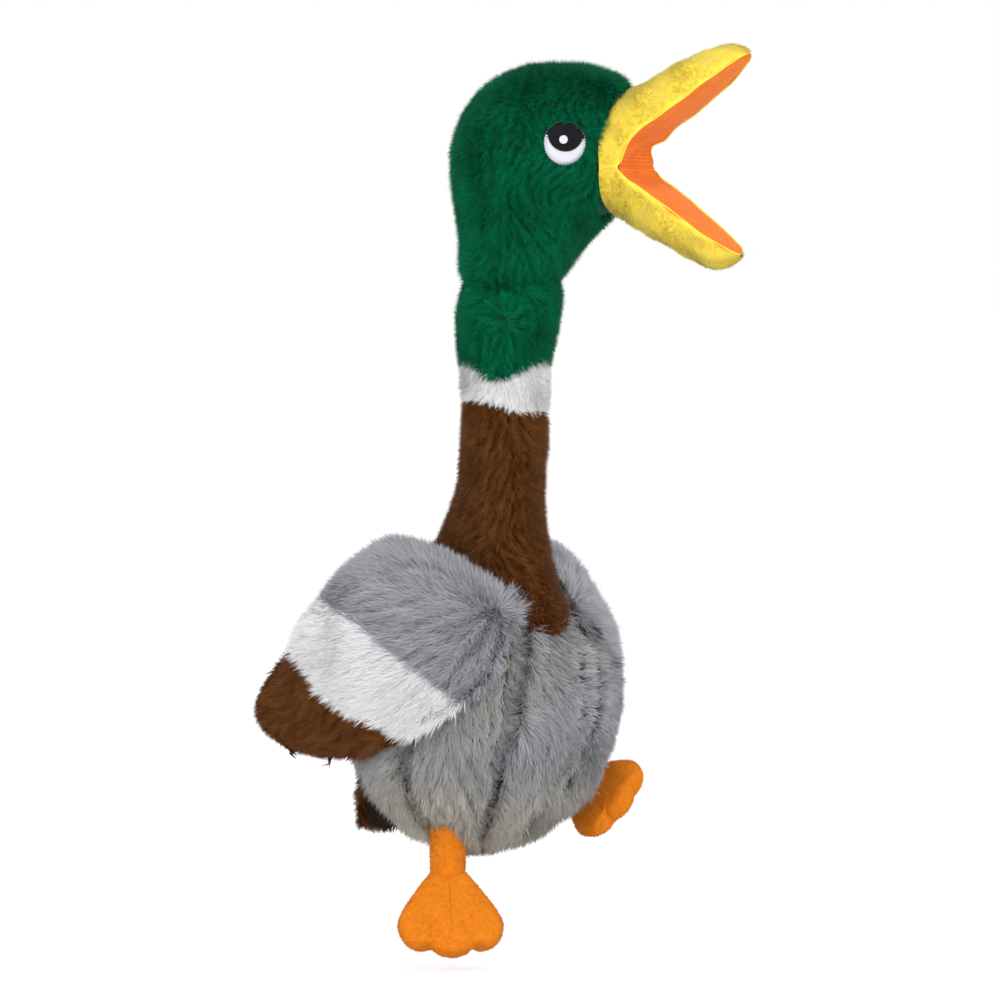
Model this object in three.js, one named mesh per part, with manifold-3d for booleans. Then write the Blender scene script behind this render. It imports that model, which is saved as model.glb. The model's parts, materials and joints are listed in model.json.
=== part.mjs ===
// A long necked plush duck for a dog, shown hanging upright by its neck.
// Millimetres, +Z up. The duck looks towards -Y and its right side is -X.
// The origin lies on the neck axis where a mouth or a hand grips it.
import * as THREE from 'three'
import { mergeVertices } from 'three/addons/utils/BufferGeometryUtils.js'
import Module from 'manifold-3d'

const wasm = await Module()
wasm.setup()

// Clearances
const SEAM_GAP = 0.3 // between two sewn panels of one body
const SEAT_GAP = 0.6 // between a moving end and its seat
const SWEEP_GAP = 0.8 // round a limb along its whole swing

// Body: a ball of eight gores round a stuffed core
const BODY_RADIUS = 71
const BODY_HALF_HEIGHT = 74.5
const BODY_BEHIND_NECK = 18
const BODY_BELOW_GRIP = 116.5
const GORE_COUNT = 8
const GORE_CROWN = 2.2 // how far a gore's middle stands out over its seams
const PANEL_THICKNESS = 9
const BODY_RINGS = 12
const STEPS_PER_GORE = 4

// Honker in the core
const HONKER_RADIUS = 17
const HONKER_LENGTH = 46
const HONKER_CAP_HEIGHT = 9
const HONKER_REED_BORE = 3.5
const HONKER_WALL = 2
const HONKER_RIBS = 8

// Neck
const NECK_RADIUS = 22
const NECK_BASE_RIM = -21.5
const COLLAR_RADIUS = 23.5
const COLLAR_BOTTOM = 32.5
const COLLAR_TOP = 55
const UPPER_NECK_RADIUS = 26.5
const UPPER_NECK_CORE_RADIUS = 15
const HEAD_CREASE = 97.5
// Level, shift to the back, half width and half depth of the neck's foot
const NECK_FLARE = [
  [NECK_BASE_RIM, 4, 23, 26.5],
  [NECK_BASE_RIM - 8, 7, 24, 30],
  [NECK_BASE_RIM - 16, 10, 25, 35.5],
  [NECK_BASE_RIM - 27, 14, 26, 42],
  [NECK_BASE_RIM - 45, 16, 26, 46],
]
const BIB_HALF_WIDTH = 21
const BIB_REACH = 66
const BIB_THICKNESS = 6
const BIB_LOWEST = 36

// Joint reach, in degrees
const TORSO_SWING = 25
const NECK_BEND = 22
const HEAD_NOD = 24
const WING_LIFT = 40
const HIP_SPLAY = 60
const ANKLE_SWING = 30
const TAIL_LIFT = 60

// Head, turned to the duck's left
const HEAD_TURN = 31
const HEAD_FORWARD_LEAN = 4
const HEAD_FRONT = 63
const HEAD_PANEL_THICKNESS = 8
// Level, back, widest place, front and half width of the head, along its own forward line
const HEAD_STATIONS = [
  [97.5, -23.5, 4, 31, 27.5],
  [106, -24.5, 8, 44, 29.5],
  [115, -25, 10, 52, 31.5],
  [124, -26, 12, 60, 33],
  [135, -27.5, 14, 66, 34.2],
  [156, -28, 15, 70, 34.5],
  [172, -26.5, 15, 70, 33.5],
  [183, -23, 16, 69, 30.5],
  [191, -17, 18, 65, 25.5],
  [197, -9, 20, 57, 19.5],
  [201.5, 3, 22, 44, 12.5],
  [204, 15, 23, 31, 5],
]

// Eye: embroidered patches
const EYE_WIDTH = 20.3
const EYE_HEIGHT = 21.5
const EYE_UP = 163
const EYE_FORWARD = 45
const EYE_OUT = 28.6
const EYE_TURN = 23.5 // towards the beak
const EYE_THICKNESS = 1.4
const EYE_SUNK = 0.4
const EYE_LID_RADIUS = 9.8 // edge between the black and the white
const EYE_LID_RISE = 4.6
const EYE_DOT_RADIUS = 2.3
const EYE_DOT_RISE = 1.7
const EYE_REACH = 24 // how deep an eye's outline cuts

// Beak
const BEAK_AXIS_FORWARD = 66
const BEAK_AXIS_UP = 155
const BEAK_HALF_WIDTH = 24.8
const BEAK_DEPTH = 28
const UPPER_BEAK_LENGTH = 87
const LOWER_BEAK_LENGTH = 80
const UPPER_BEAK_OPEN = 38.5
const LOWER_BEAK_OPEN = 37.5
const BEAK_DRUM_RADIUS = 29
const BEAK_DRUM_HALF_WIDTH = 19
const BEAK_DRUM_SPAN = 112
const MOUTH_ROLL_RADIUS = 8
const MOUTH_CORNER_WIDTH = 3.5
const LINING_THICKNESS = 3
const LINING_INSET = 2.4

// Wings
const WING_ROOT_RADIUS = 7
const WING_KNOB_RADIUS = 9
const WING_THICKNESS = [14, 23, 21, 19, 16, 7]
const WING_ARCH = [0, 15, 17, 10, 3, 0]
const WING_LAYER = -0.4 // where the upper side meets the underside, 1 up to -1
const WING_STEPS_ACROSS = 8
const WING_WHITE_FROM = 0.4
const WING_WHITE_TO = 0.6

// Tail: a flap that droops from a root sewn across the body's back
const TAIL_HALF_WIDTH = 17
const TAIL_THICKNESS = 9
const TAIL_ROOT_RADIUS = 4.5
const TAIL_ROOT_BACK = 66.5
const TAIL_ROOT_DOWN = 22
const TAIL_REACH = 24
const TAIL_DROP = 43
const TAIL_LINING_THICKNESS = 2.5
const TAIL_LINING_INSET = 5

// Legs and feet
const LEG_RADIUS = 8.75
const ANKLE_RADIUS = 7.5
const LEG_LENGTH = 20
const LEG_TAPER = 9
const FOOT_LENGTH = 49
const FOOT_HALF_WIDTH = 27
const FOOT_THICKNESS = 12
const FOOT_HEEL_RADIUS = 9.5
const TOE_COUNT = 3
const TOE_RADIUS = 11

const PLUSH = { roughness: 0.95, metalness: 0 }
const COLOURS = {
  green: 0x00694a,
  white: 0xf2f3f7,
  brown: 0x5e3412,
  grey: 0x8f8f94,
  yellow: 0xf2d84c,
  lining: 0xff8030,
  orange: 0xf58a10,
  black: 0x10141a,
  darkBrown: 0x2a1a14,
  filling: 0xe8e6e0,
  plastic: 0xd8d8d8,
}

const radians = THREE.MathUtils.degToRad
const vec = (x, y, z) => new THREE.Vector3(x, y, z)
const bodyCentre = vec(0, BODY_BEHIND_NECK, -BODY_BELOW_GRIP)
const toy = new THREE.Group()

// Six times the volume inside a closed mesh, negative where its faces point in
function signedVolume(points, corners) {
  const at = (k) => new THREE.Vector3().fromArray(points, 3 * corners[k])
  let volume = 0
  for (let k = 0; k < corners.length; k += 3) volume += at(k).dot(at(k + 1).cross(at(k + 2)))
  return volume
}

// A solid from a three.js geometry whose faces close on themselves
function solid(geometry) {
  const bare = geometry.clone()
  for (const name of Object.keys(bare.attributes)) {
    if (name !== 'position') bare.deleteAttribute(name)
  }
  const merged = mergeVertices(bare, 1e-4)
  const points = merged.attributes.position.array
  const index = merged.index.array
  const corners = []
  for (let i = 0; i < index.length; i += 3) {
    const [a, b, c] = [index[i], index[i + 1], index[i + 2]]
    if (a !== b && b !== c && c !== a) corners.push(a, b, c)
  }
  if (signedVolume(points, corners) < 0) corners.reverse()
  const mesh = new wasm.Mesh({
    numProp: 3,
    vertProperties: new Float32Array(points),
    triVerts: new Uint32Array(corners),
  })
  return new wasm.Manifold(mesh)
}

// A solid through a row of closed rings of points, each end closed by a strip to and fro
function loft(rings) {
  const count = rings[0].length
  const points = rings.flat()
  const index = []
  for (let r = 0; r + 1 < rings.length; r++) {
    for (let k = 0; k < count; k++) {
      const next = (k + 1) % count
      const [a, b] = [r * count + k, r * count + next]
      const [c, d] = [a + count, b + count]
      index.push(a, b, d, a, d, c)
    }
  }
  const last = (rings.length - 1) * count
  const across = []
  for (let [low, high] = [0, count - 1]; high - low > 1; low++, high--) {
    across.push([low, low + 1, high])
    if (high - low > 2) across.push([low + 1, high - 1, high])
  }
  for (const [a, b, c] of across) {
    index.push(a, c, b)
    index.push(last + a, last + b, last + c)
  }
  const geometry = new THREE.BufferGeometry().setFromPoints(points)
  geometry.setIndex(index)
  return solid(geometry)
}

function ring(count, pointAt) {
  return Array.from({ length: count }, (_, k) => pointAt((2 * Math.PI * k) / count))
}

function steps(count, from, to) {
  return Array.from({ length: count + 1 }, (_, k) => from + ((to - from) * k) / count)
}

function ball(centre, radius, around = 24, up = 12) {
  const geometry = new THREE.SphereGeometry(radius, around, up)
  geometry.translate(centre.x, centre.y, centre.z)
  return solid(geometry)
}

// A round rod between two points
function rod(from, to, radius, around = 24) {
  const length = from.distanceTo(to)
  const geometry = new THREE.CylinderGeometry(radius, radius, length, around)
  const along = to.clone().sub(from).normalize()
  geometry.applyQuaternion(new THREE.Quaternion().setFromUnitVectors(vec(0, 1, 0), along))
  const middle = from.clone().lerp(to, 0.5)
  geometry.translate(middle.x, middle.y, middle.z)
  return solid(geometry)
}

// A profile of [distance along, radius] turned round the line from one point to another
function revolve(from, to, profile, around) {
  const outline = [[profile[0][0], 0], ...profile, [profile[profile.length - 1][0], 0]]
  const geometry = new THREE.LatheGeometry(outline.map(([along, r]) => new THREE.Vector2(r, along)), around)
  const along = to.clone().sub(from).normalize()
  geometry.applyQuaternion(new THREE.Quaternion().setFromUnitVectors(vec(0, 1, 0), along))
  geometry.translate(from.x, from.y, from.z)
  return solid(geometry)
}

// The profile of a rod with a round end at each side, the first end maybe wider than the rod
function roundEnded(firstRadius, lastRadius, length, count = 6) {
  const past = firstRadius > lastRadius ? Math.asin(lastRadius / firstRadius) : Math.PI / 2
  const first = steps(count, 0.12, Math.PI - past)
    .map((a) => [-firstRadius * Math.cos(a), firstRadius * Math.sin(a)])
  const last = steps(4, Math.PI / 2, Math.PI - 0.12)
    .map((a) => [length - lastRadius * Math.cos(a), lastRadius * Math.sin(a)])
  return [...first, ...last]
}

// All space on the side of a point that a normal points to
function halfSpace(point, normal) {
  const geometry = new THREE.BoxGeometry(600, 600, 600)
  geometry.translate(0, 0, 300)
  const facing = normal.clone().normalize()
  geometry.applyQuaternion(new THREE.Quaternion().setFromUnitVectors(vec(0, 0, 1), facing))
  geometry.translate(point.x, point.y, point.z)
  return solid(geometry)
}

// The same solid placed by a matrix
function placed(shape, matrix) {
  return shape.transform(matrix.toArray())
}

// Turn about a line through a point
function turnAbout(point, axis, degrees) {
  return new THREE.Matrix4()
    .makeTranslation(point.x, point.y, point.z)
    .multiply(new THREE.Matrix4().makeRotationAxis(axis.clone().normalize(), radians(degrees)))
    .multiply(new THREE.Matrix4().makeTranslation(-point.x, -point.y, -point.z))
}

// All that a solid passes through while it turns about a line
function swept(shape, point, axis, from, to, count) {
  return steps(count, from, to)
    .map((degrees) => placed(shape, turnAbout(point, axis, degrees)))
    .reduce((whole, next) => whole.add(next))
}

// A solid without the slivers that a cut can leave beside it
function mainBody(shape) {
  const bodies = shape.decompose()
  return bodies.reduce((best, next) => (next.volume() > best.volume() ? next : best))
}

function addPart(name, shape, colour, look = PLUSH) {
  const result = mainBody(shape).getMesh()
  const geometry = new THREE.BufferGeometry()
  geometry.setAttribute('position', new THREE.BufferAttribute(result.vertProperties, 3))
  geometry.setIndex(new THREE.BufferAttribute(result.triVerts, 1))
  geometry.computeVertexNormals()
  const mesh = new THREE.Mesh(geometry, new THREE.MeshStandardMaterial({ color: colour, ...look }))
  mesh.name = name
  toy.add(mesh)
}

// The ball's surface: an ellipsoid whose gores each bulge a little between their seams
function bodyShape(grow, crown = GORE_CROWN, around = GORE_COUNT * STEPS_PER_GORE, up = BODY_RINGS) {
  const rings = steps(up, 0.05, Math.PI - 0.05).map((polar) =>
    ring(around, (azimuth) => {
      const acrossGore = Math.cos((GORE_COUNT * azimuth) / 2)
      const drawn = crown * (1 - Math.abs(acrossGore)) * Math.sin(polar)
      const radius = (BODY_RADIUS + grow - drawn) * Math.sin(polar)
      return vec(
        bodyCentre.x + radius * Math.sin(azimuth),
        bodyCentre.y - radius * Math.cos(azimuth),
        bodyCentre.z + (BODY_HALF_HEIGHT + grow - drawn) * Math.cos(polar),
      )
    }),
  )
  return loft(rings)
}

// The wedge of space that holds one gore, short of its seams by half a gap
function goreWedge(number) {
  const half = Math.PI / GORE_COUNT
  const middle = 2 * half * number
  const start = SEAM_GAP / 2 / Math.sin(half)
  const reach = 2 * BODY_RADIUS
  const spread = reach * Math.tan(half)
  const outline = new THREE.Shape([
    new THREE.Vector2(0, -start),
    new THREE.Vector2(spread, -start - reach),
    new THREE.Vector2(-spread, -start - reach),
  ])
  const geometry = new THREE.ExtrudeGeometry(outline, { depth: 4 * BODY_HALF_HEIGHT, bevelEnabled: false })
  geometry.translate(0, 0, -2 * BODY_HALF_HEIGHT)
  geometry.rotateZ(middle)
  geometry.translate(bodyCentre.x, bodyCentre.y, bodyCentre.z)
  return solid(geometry)
}

// Wings: a padded sheet between a front edge and a back edge, arched over the ball.
// Each edge runs from the shoulder to the tip, measured from the ball's centre
// as distance outwards, along Y and up.
const wingBack = [
  [30, 12, 70],
  [44, 30, 76],
  [65, 50, 54],
  [77, 60, 25],
  [88, 68, -4],
  [82, 52, -26],
]
const wingSides = {
  right: {
    out: -1,
    front: [
      [20, -43, 59],
      [36, -60, 32],
      [52, -59, 5],
      [70, -27, -19],
      [72, 0, -27],
      [74, 20, -29],
    ],
  },
  left: {
    out: 1,
    front: [
      [20, -43, 59],
      [33, -52, 34],
      [50, -44, 8],
      [66, -16, -16],
      [70, 6, -25],
      [74, 22, -28],
    ],
  },
}

function edgeCurve(points, out) {
  const placedPoints = points.map(([x, y, z]) => vec(out * x, y, z).add(bodyCentre))
  return new THREE.CatmullRomCurve3(placedPoints)
}

function between(values, t) {
  const at = Math.min(t * (values.length - 1), values.length - 1.0001)
  const low = Math.floor(at)
  return THREE.MathUtils.lerp(values[low], values[low + 1], at - low)
}

// A slice of the wing at stations t of its length, between two layers of its thickness:
// 1 is the upper face, -1 the lower face. Trim leaves out that many steps at each edge.
function wingSlice(side, stations, [upper, lower], { grow = 0, below = 0, trim = 0 } = {}) {
  const front = edgeCurve(side.front, side.out)
  const back = edgeCurve(wingBack, side.out)
  const rings = stations.map((t) => {
    const [f, b] = [front.getPoint(t), back.getPoint(t)]
    const outwards = f.clone().add(b).multiplyScalar(0.5).sub(bodyCentre).normalize()
    const half = between(WING_THICKNESS, t) / 2
    const arch = between(WING_ARCH, t)
    const at = (u, layer, extra) => {
      const edge = Math.sqrt(4 * u * (1 - u))
      const lift = edge * edge * arch + layer * half * edge + extra
      return f.clone().lerp(b, u).addScaledVector(outwards, lift)
    }
    const run = steps(WING_STEPS_ACROSS, 0, Math.PI)
      .map((angle) => (1 - Math.cos(angle)) / 2)
      .slice(trim, WING_STEPS_ACROSS + 1 - trim)
    const top = run.map((u) => at(u, upper, grow - below))
    const under = run.map((u) => at(u, lower, -grow)).reverse()
    if (trim > 0) return [...top, ...under].reverse() // so its facets match the layer above
    return grow > 0 ? [...top, ...under] : [...top, ...under.slice(1, -1)]
  })
  return loft(rings)
}

function wingRootEnds(side) {
  return [side.front[0], wingBack[0]].map(([x, y, z]) => vec(side.out * x, y, z).add(bodyCentre))
}

function wingRoot(side, grow) {
  const [front, back] = wingRootEnds(side)
  const length = front.distanceTo(back)
  const profile = roundEnded(WING_KNOB_RADIUS + grow, WING_ROOT_RADIUS + grow, length)
  return revolve(front, back, profile, 16)
}

function addWing(name, side) {
  const clearOfBody = bodyShape(SEAT_GAP, 0, 24, 12)
  const seam = SEAM_GAP / 120
  const band = (from, to, count) =>
    wingSlice(side, steps(count, from, to), [1, WING_LAYER]).subtract(clearOfBody)
  const grey = band(0.03, WING_WHITE_FROM, 5)
  const white = band(WING_WHITE_FROM + seam, WING_WHITE_TO, 3)
  const tip = band(WING_WHITE_TO + seam, 1, 6)
  const stations = [
    ...steps(5, 0.03, WING_WHITE_FROM).slice(2),
    ...steps(3, WING_WHITE_FROM + seam, WING_WHITE_TO),
    ...steps(6, WING_WHITE_TO + seam, 1).slice(0, -1),
  ]
  const under = wingSlice(side, stations, [WING_LAYER, -1], { below: SEAM_GAP, trim: 1 })
    .subtract(clearOfBody).subtract(wingRoot(side, SEAM_GAP))
  addPart(`wing_${name}_grey`, grey.add(wingRoot(side, 0)), COLOURS.grey)
  addPart(`wing_${name}_white`, white, COLOURS.white)
  addPart(`wing_${name}_tip`, tip, COLOURS.brown)
  addPart(`wing_${name}_underside`, under, COLOURS.brown)
}

// The space that the root end of a wing passes through as the wing lifts
function wingSweep(side) {
  const [front, back] = wingRootEnds(side)
  const slice = wingSlice(side, [0.03, 0.12, 0.22, 0.34], [1, -1], { grow: SWEEP_GAP })
  return swept(slice, front, back.clone().sub(front), 0, -side.out * WING_LIFT, 4)
}

const wingSeats = Object.values(wingSides)
  .map((side) => wingRoot(side, SEAT_GAP))
  .reduce((whole, next) => whole.add(next))

// Neck: three ball ends in dishes, each dish short of its ball's middle by the joint's reach
const rise = (radius, degrees) => radius * Math.sin(radians(degrees))
const torsoPivot = vec(0, 0, NECK_BASE_RIM + rise(NECK_RADIUS, TORSO_SWING))
const collarBall = COLLAR_RADIUS - 2.3
const bendPivot = vec(0, 0, COLLAR_BOTTOM + rise(collarBall, NECK_BEND))
const headForward = vec(Math.sin(radians(HEAD_TURN)), -Math.cos(radians(HEAD_TURN)), 0)
const headLeft = vec(Math.cos(radians(HEAD_TURN)), Math.sin(radians(HEAD_TURN)), 0)
const headFrame = new THREE.Matrix4().makeBasis(headForward, headLeft, vec(0, 0, 1))
const nodRise = rise(UPPER_NECK_RADIUS, HEAD_NOD)
const nodPivot = headForward.clone().multiplyScalar(HEAD_FORWARD_LEAN).setZ(HEAD_CREASE - nodRise)

// A round column through stations of level, radius and centre
function column(stations, around = 24) {
  return loft(stations.map(([z, radius, x = 0, y = 0]) =>
    ring(around, (a) => vec(x + radius * Math.cos(a), y + radius * Math.sin(a), z))))
}

function addNeck() {
  const flare = loft(NECK_FLARE.map(([z, back, halfX, halfY]) =>
    ring(24, (a) => vec(halfX * Math.cos(a), back + halfY * Math.sin(a), z))))
  const tongue = new THREE.Shape()
  tongue.moveTo(BIB_HALF_WIDTH, 0)
  tongue.quadraticCurveTo(BIB_HALF_WIDTH, -BIB_REACH * 0.8, 0, -BIB_REACH)
  tongue.quadraticCurveTo(-BIB_HALF_WIDTH, -BIB_REACH * 0.8, -BIB_HALF_WIDTH, 0)
  const prism = new THREE.ExtrudeGeometry(tongue, { depth: 60, bevelEnabled: false, curveSegments: 8 })
  prism.translate(0, bodyCentre.y, bodyCentre.z + BIB_LOWEST)
  const bib = bodyShape(BIB_THICKNESS, 0).intersect(solid(prism))
  const base = flare.add(bib)
    .subtract(bodyShape(SEAM_GAP))
    .subtract(ball(torsoPivot, NECK_RADIUS + SEAT_GAP))
    .subtract(wingSeats)
    .subtract(wingSweep(wingSides.right))
    .subtract(wingSweep(wingSides.left))
  addPart('neck_base', base, COLOURS.brown)

  const lower = column([
    [torsoPivot.z, NECK_RADIUS],
    [0, NECK_RADIUS],
    [COLLAR_BOTTOM - 8, NECK_RADIUS],
    [COLLAR_BOTTOM, NECK_RADIUS + 0.8],
  ])
    .add(ball(torsoPivot, NECK_RADIUS))
    .subtract(ball(bendPivot, collarBall + SEAT_GAP))
  addPart('lower_neck', lower, COLOURS.brown)

  const collar = column([
    [bendPivot.z, collarBall],
    [bendPivot.z + 2.5, collarBall],
    [bendPivot.z + 5, COLLAR_RADIUS],
    [COLLAR_TOP - 3, COLLAR_RADIUS],
    [COLLAR_TOP - SEAM_GAP, COLLAR_RADIUS - 0.7],
  ]).add(ball(bendPivot, collarBall).subtract(halfSpace(bendPivot, vec(0, 0, 1))))
  addPart('collar', collar, COLOURS.white)

  const lean = (share) => [nodPivot.x * share, nodPivot.y * share]
  const sleeve = column([
    [COLLAR_TOP, UPPER_NECK_RADIUS - 2.3],
    [COLLAR_TOP + 8, UPPER_NECK_RADIUS - 1, ...lean(0.15)],
    [COLLAR_TOP + 20, UPPER_NECK_RADIUS, ...lean(0.6)],
    [nodPivot.z, UPPER_NECK_RADIUS, ...lean(1)],
  ]).add(ball(nodPivot, UPPER_NECK_RADIUS))
  const coreTop = nodPivot.z + UPPER_NECK_CORE_RADIUS / 2
  const bore = rod(vec(0, 0, COLLAR_TOP - 1), vec(0, 0, coreTop), UPPER_NECK_CORE_RADIUS)
  const core = rod(vec(0, 0, COLLAR_TOP), vec(0, 0, coreTop - SEAM_GAP), UPPER_NECK_CORE_RADIUS - SEAM_GAP)
  addPart('upper_neck', sleeve.subtract(bore), COLOURS.green)
  addPart('upper_neck_filling', core, COLOURS.filling)
}

// Head: level sections, rounder behind than in front. Inset makes the same shape smaller.
function headShape(inset, around = 28) {
  const bottom = HEAD_STATIONS[0][0]
  const top = HEAD_STATIONS[HEAD_STATIONS.length - 1][0]
  const shrink = (top - bottom - 2 * inset) / (top - bottom)
  const rings = HEAD_STATIONS.map(([up, back, widest, front, halfWidth]) => {
    const z = bottom + inset + (up - bottom) * shrink
    const least = 2
    return ring(around, (a) => {
      const reach = Math.cos(a) > 0 ? front - widest - inset : widest - back - inset
      const x = widest + Math.max(reach, least) * Math.sign(Math.cos(a)) * Math.abs(Math.cos(a)) ** 0.9
      const y = Math.max(halfWidth - inset, least) * Math.sign(Math.sin(a)) * Math.abs(Math.sin(a)) ** 0.9
      return vec(x, y, z)
    })
  })
  const face = halfSpace(vec(HEAD_FRONT - inset, 0, 0), vec(-1, 0, 0))
  return loft(rings).intersect(face)
}

// Eye: patches cut from a thin skin just under the head's surface
function eyeTool(side, outline, grow) {
  const turn = radians(EYE_TURN)
  const across = vec(Math.cos(turn), -side * Math.sin(turn), 0)
  const out = vec(Math.sin(turn), side * Math.cos(turn), 0)
  const basis = new THREE.Matrix4().makeBasis(across, vec(0, 0, 1), out)
  basis.setPosition(vec(EYE_FORWARD, side * EYE_OUT, EYE_UP).addScaledVector(out, -EYE_REACH / 2))
  const settings = { depth: EYE_REACH, bevelEnabled: false, curveSegments: 6 }
  const geometry = new THREE.ExtrudeGeometry(outline(grow), settings)
  geometry.applyMatrix4(basis)
  return solid(geometry)
}

function disc(x, y, halfX, halfY = halfX) {
  return (grow) => new THREE.Shape().absellipse(x, y, halfX + grow, halfY + grow, 0, 2 * Math.PI)
}

const eyeOutline = disc(0, 0, EYE_WIDTH / 2, EYE_HEIGHT / 2)
const eyeLid = disc(0.4, EYE_LID_RISE, EYE_LID_RADIUS)
const eyeDot = disc(-0.6, EYE_DOT_RISE, EYE_DOT_RADIUS)

function eyePocket(side) {
  return eyeTool(side, eyeOutline, SEAM_GAP).subtract(headShape(EYE_SUNK + EYE_THICKNESS + SEAM_GAP))
}

function addEye(name, side) {
  const skin = headShape(EYE_SUNK).subtract(headShape(EYE_SUNK + EYE_THICKNESS))
  const whole = skin.intersect(eyeTool(side, eyeOutline, 0))
  const lid = eyeTool(side, eyeLid, 0)
  const black = whole.intersect(lid).subtract(eyeTool(side, eyeDot, SEAM_GAP))
  const white = whole.subtract(eyeTool(side, eyeLid, SEAM_GAP))
  const dot = whole.intersect(eyeTool(side, eyeDot, 0))
  addPart(`eye_${name}_black`, placed(black, headFrame), COLOURS.black)
  addPart(`eye_${name}_white`, placed(white, headFrame), COLOURS.white)
  addPart(`eye_${name}_dot`, placed(dot, headFrame), COLOURS.white)
}

// Beak: two padded halves on one cross axis, in the head's own frame
const beakAxis = vec(BEAK_AXIS_FORWARD, 0, BEAK_AXIS_UP)
function crossRod(radius, halfWidth, around = 28) {
  const half = vec(0, halfWidth, 0)
  return rod(beakAxis.clone().sub(half), beakAxis.clone().add(half), radius, around)
}

const beakDrumSocket = crossRod(BEAK_DRUM_RADIUS + SEAT_GAP, BEAK_DRUM_HALF_WIDTH + SEAT_GAP, 36)

function beakWidthAt(share) {
  return BEAK_HALF_WIDTH * Math.sqrt(Math.max(0, 1 - share ** 2.6))
}

function addBeakHalf(name, up, open, length) {
  const angle = radians(open)
  const along = vec(Math.cos(angle), 0, up * Math.sin(angle))
  const outwards = vec(-Math.sin(angle), 0, up * Math.cos(angle))
  const at = (s, across, out) => beakAxis.clone().addScaledVector(along, s)
    .addScaledVector(outwards, out).setY(across)
  const domeRings = [0, 0.2, 0.4, 0.6, 0.76, 0.88, 0.95, 0.99].map((share) => {
    const width = beakWidthAt(share)
    const height = BEAK_DEPTH * (1 - 0.45 * share) * Math.sqrt(1 - share ** 6)
    const arch = steps(12, 0, Math.PI).map((a) =>
      at(share * length, width * Math.cos(a), height * Math.sin(a) ** 0.9))
    return arch
  })
  const lining = (grow, depth) => {
    const slabRings = [0.02, 0.25, 0.5, 0.7, 0.84, 0.93, 0.97].map((share) => {
      const width = Math.max(2, beakWidthAt(share) - LINING_INSET) + grow
      const s = share * length + (share > 0.95 ? grow : 0)
      return [at(s, -width, -grow), at(s, width, -grow), at(s, width, depth), at(s, -width, depth)]
    })
    return loft(slabRings)
  }
  const inFront = halfSpace(vec(HEAD_FRONT + SEAM_GAP, 0, 0), vec(1, 0, 0))
  const end = radians(open + BEAK_DRUM_SPAN)
  const above = halfSpace(beakAxis, outwards)
  const back = halfSpace(beakAxis, vec(-Math.sin(end), 0, up * Math.cos(end)))
  const drum = crossRod(BEAK_DRUM_RADIUS, BEAK_DRUM_HALF_WIDTH, 36).intersect(above).subtract(back)
  const roll = crossRod(MOUTH_ROLL_RADIUS + SEAT_GAP, 40)
  const shell = loft(domeRings).intersect(inFront).add(drum)
    .subtract(roll).subtract(lining(SEAM_GAP, LINING_THICKNESS + SEAM_GAP))
  const sheet = lining(0, LINING_THICKNESS).subtract(roll)
  addPart(`beak_${name}`, placed(shell, headFrame), COLOURS.yellow)
  addPart(`beak_${name}_lining`, placed(sheet, headFrame), COLOURS.lining)
}

function addHead() {
  const shell = headShape(0).subtract(headShape(HEAD_PANEL_THICKNESS, 20))
    .subtract(beakDrumSocket)
    .subtract(eyePocket(1)).subtract(eyePocket(-1))
  const neckSeat = ball(nodPivot, UPPER_NECK_RADIUS + SEAT_GAP)
  const half = (side) => halfSpace(vec(0, side * SEAM_GAP / 2, 0), vec(0, side, 0))
  for (const [name, side] of [['right', -1], ['left', 1]]) {
    const panel = placed(shell.intersect(half(side)), headFrame).subtract(neckSeat)
    addPart(`head_${name}`, panel, COLOURS.green)
    addEye(name, side)
  }
  const filling = headShape(HEAD_PANEL_THICKNESS + SEAM_GAP, 20).subtract(beakDrumSocket)
  addPart('head_filling', placed(filling, headFrame).subtract(neckSeat), COLOURS.filling)

  const inFront = halfSpace(vec(HEAD_FRONT + SEAM_GAP, 0, 0), vec(1, 0, 0))
  const middle = BEAK_HALF_WIDTH - MOUTH_CORNER_WIDTH
  const roll = crossRod(MOUTH_ROLL_RADIUS, middle - SEAM_GAP).intersect(inFront)
  addPart('mouth_fold', placed(roll, headFrame), COLOURS.lining)
  for (const [name, side] of [['right', -1], ['left', 1]]) {
    const corner = rod(
      beakAxis.clone().setY(side * middle),
      beakAxis.clone().setY(side * BEAK_HALF_WIDTH),
      MOUTH_ROLL_RADIUS,
      28,
    ).intersect(inFront)
    addPart(`mouth_corner_${name}`, placed(corner, headFrame), COLOURS.yellow)
  }
  addBeakHalf('upper', 1, UPPER_BEAK_OPEN, UPPER_BEAK_LENGTH)
  addBeakHalf('lower', -1, LOWER_BEAK_OPEN, LOWER_BEAK_LENGTH)
}

// Legs: a short tube with a ball at the hip and a smaller ball at the ankle
const legSides = {
  right: {
    hip: vec(-29.7, -10.6, -70.1).add(bodyCentre),
    down: vec(0, 0, -1),
    toes: vec(-0.321, -0.557, -0.766),
    upper: vec(-0.38, -0.66, 0.64),
    splay: 1,
  },
  left: {
    hip: vec(59.9, 23.8, -33.7).add(bodyCentre),
    down: vec(0.503, -0.592, -0.627).normalize(),
    toes: vec(-0.023, -0.973, -0.22).normalize(),
    upper: vec(-0.8, -0.114, 0.588),
    splay: -1,
  },
}

function anklePoint(leg) {
  return leg.hip.clone().addScaledVector(leg.down, LEG_LENGTH)
}

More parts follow.
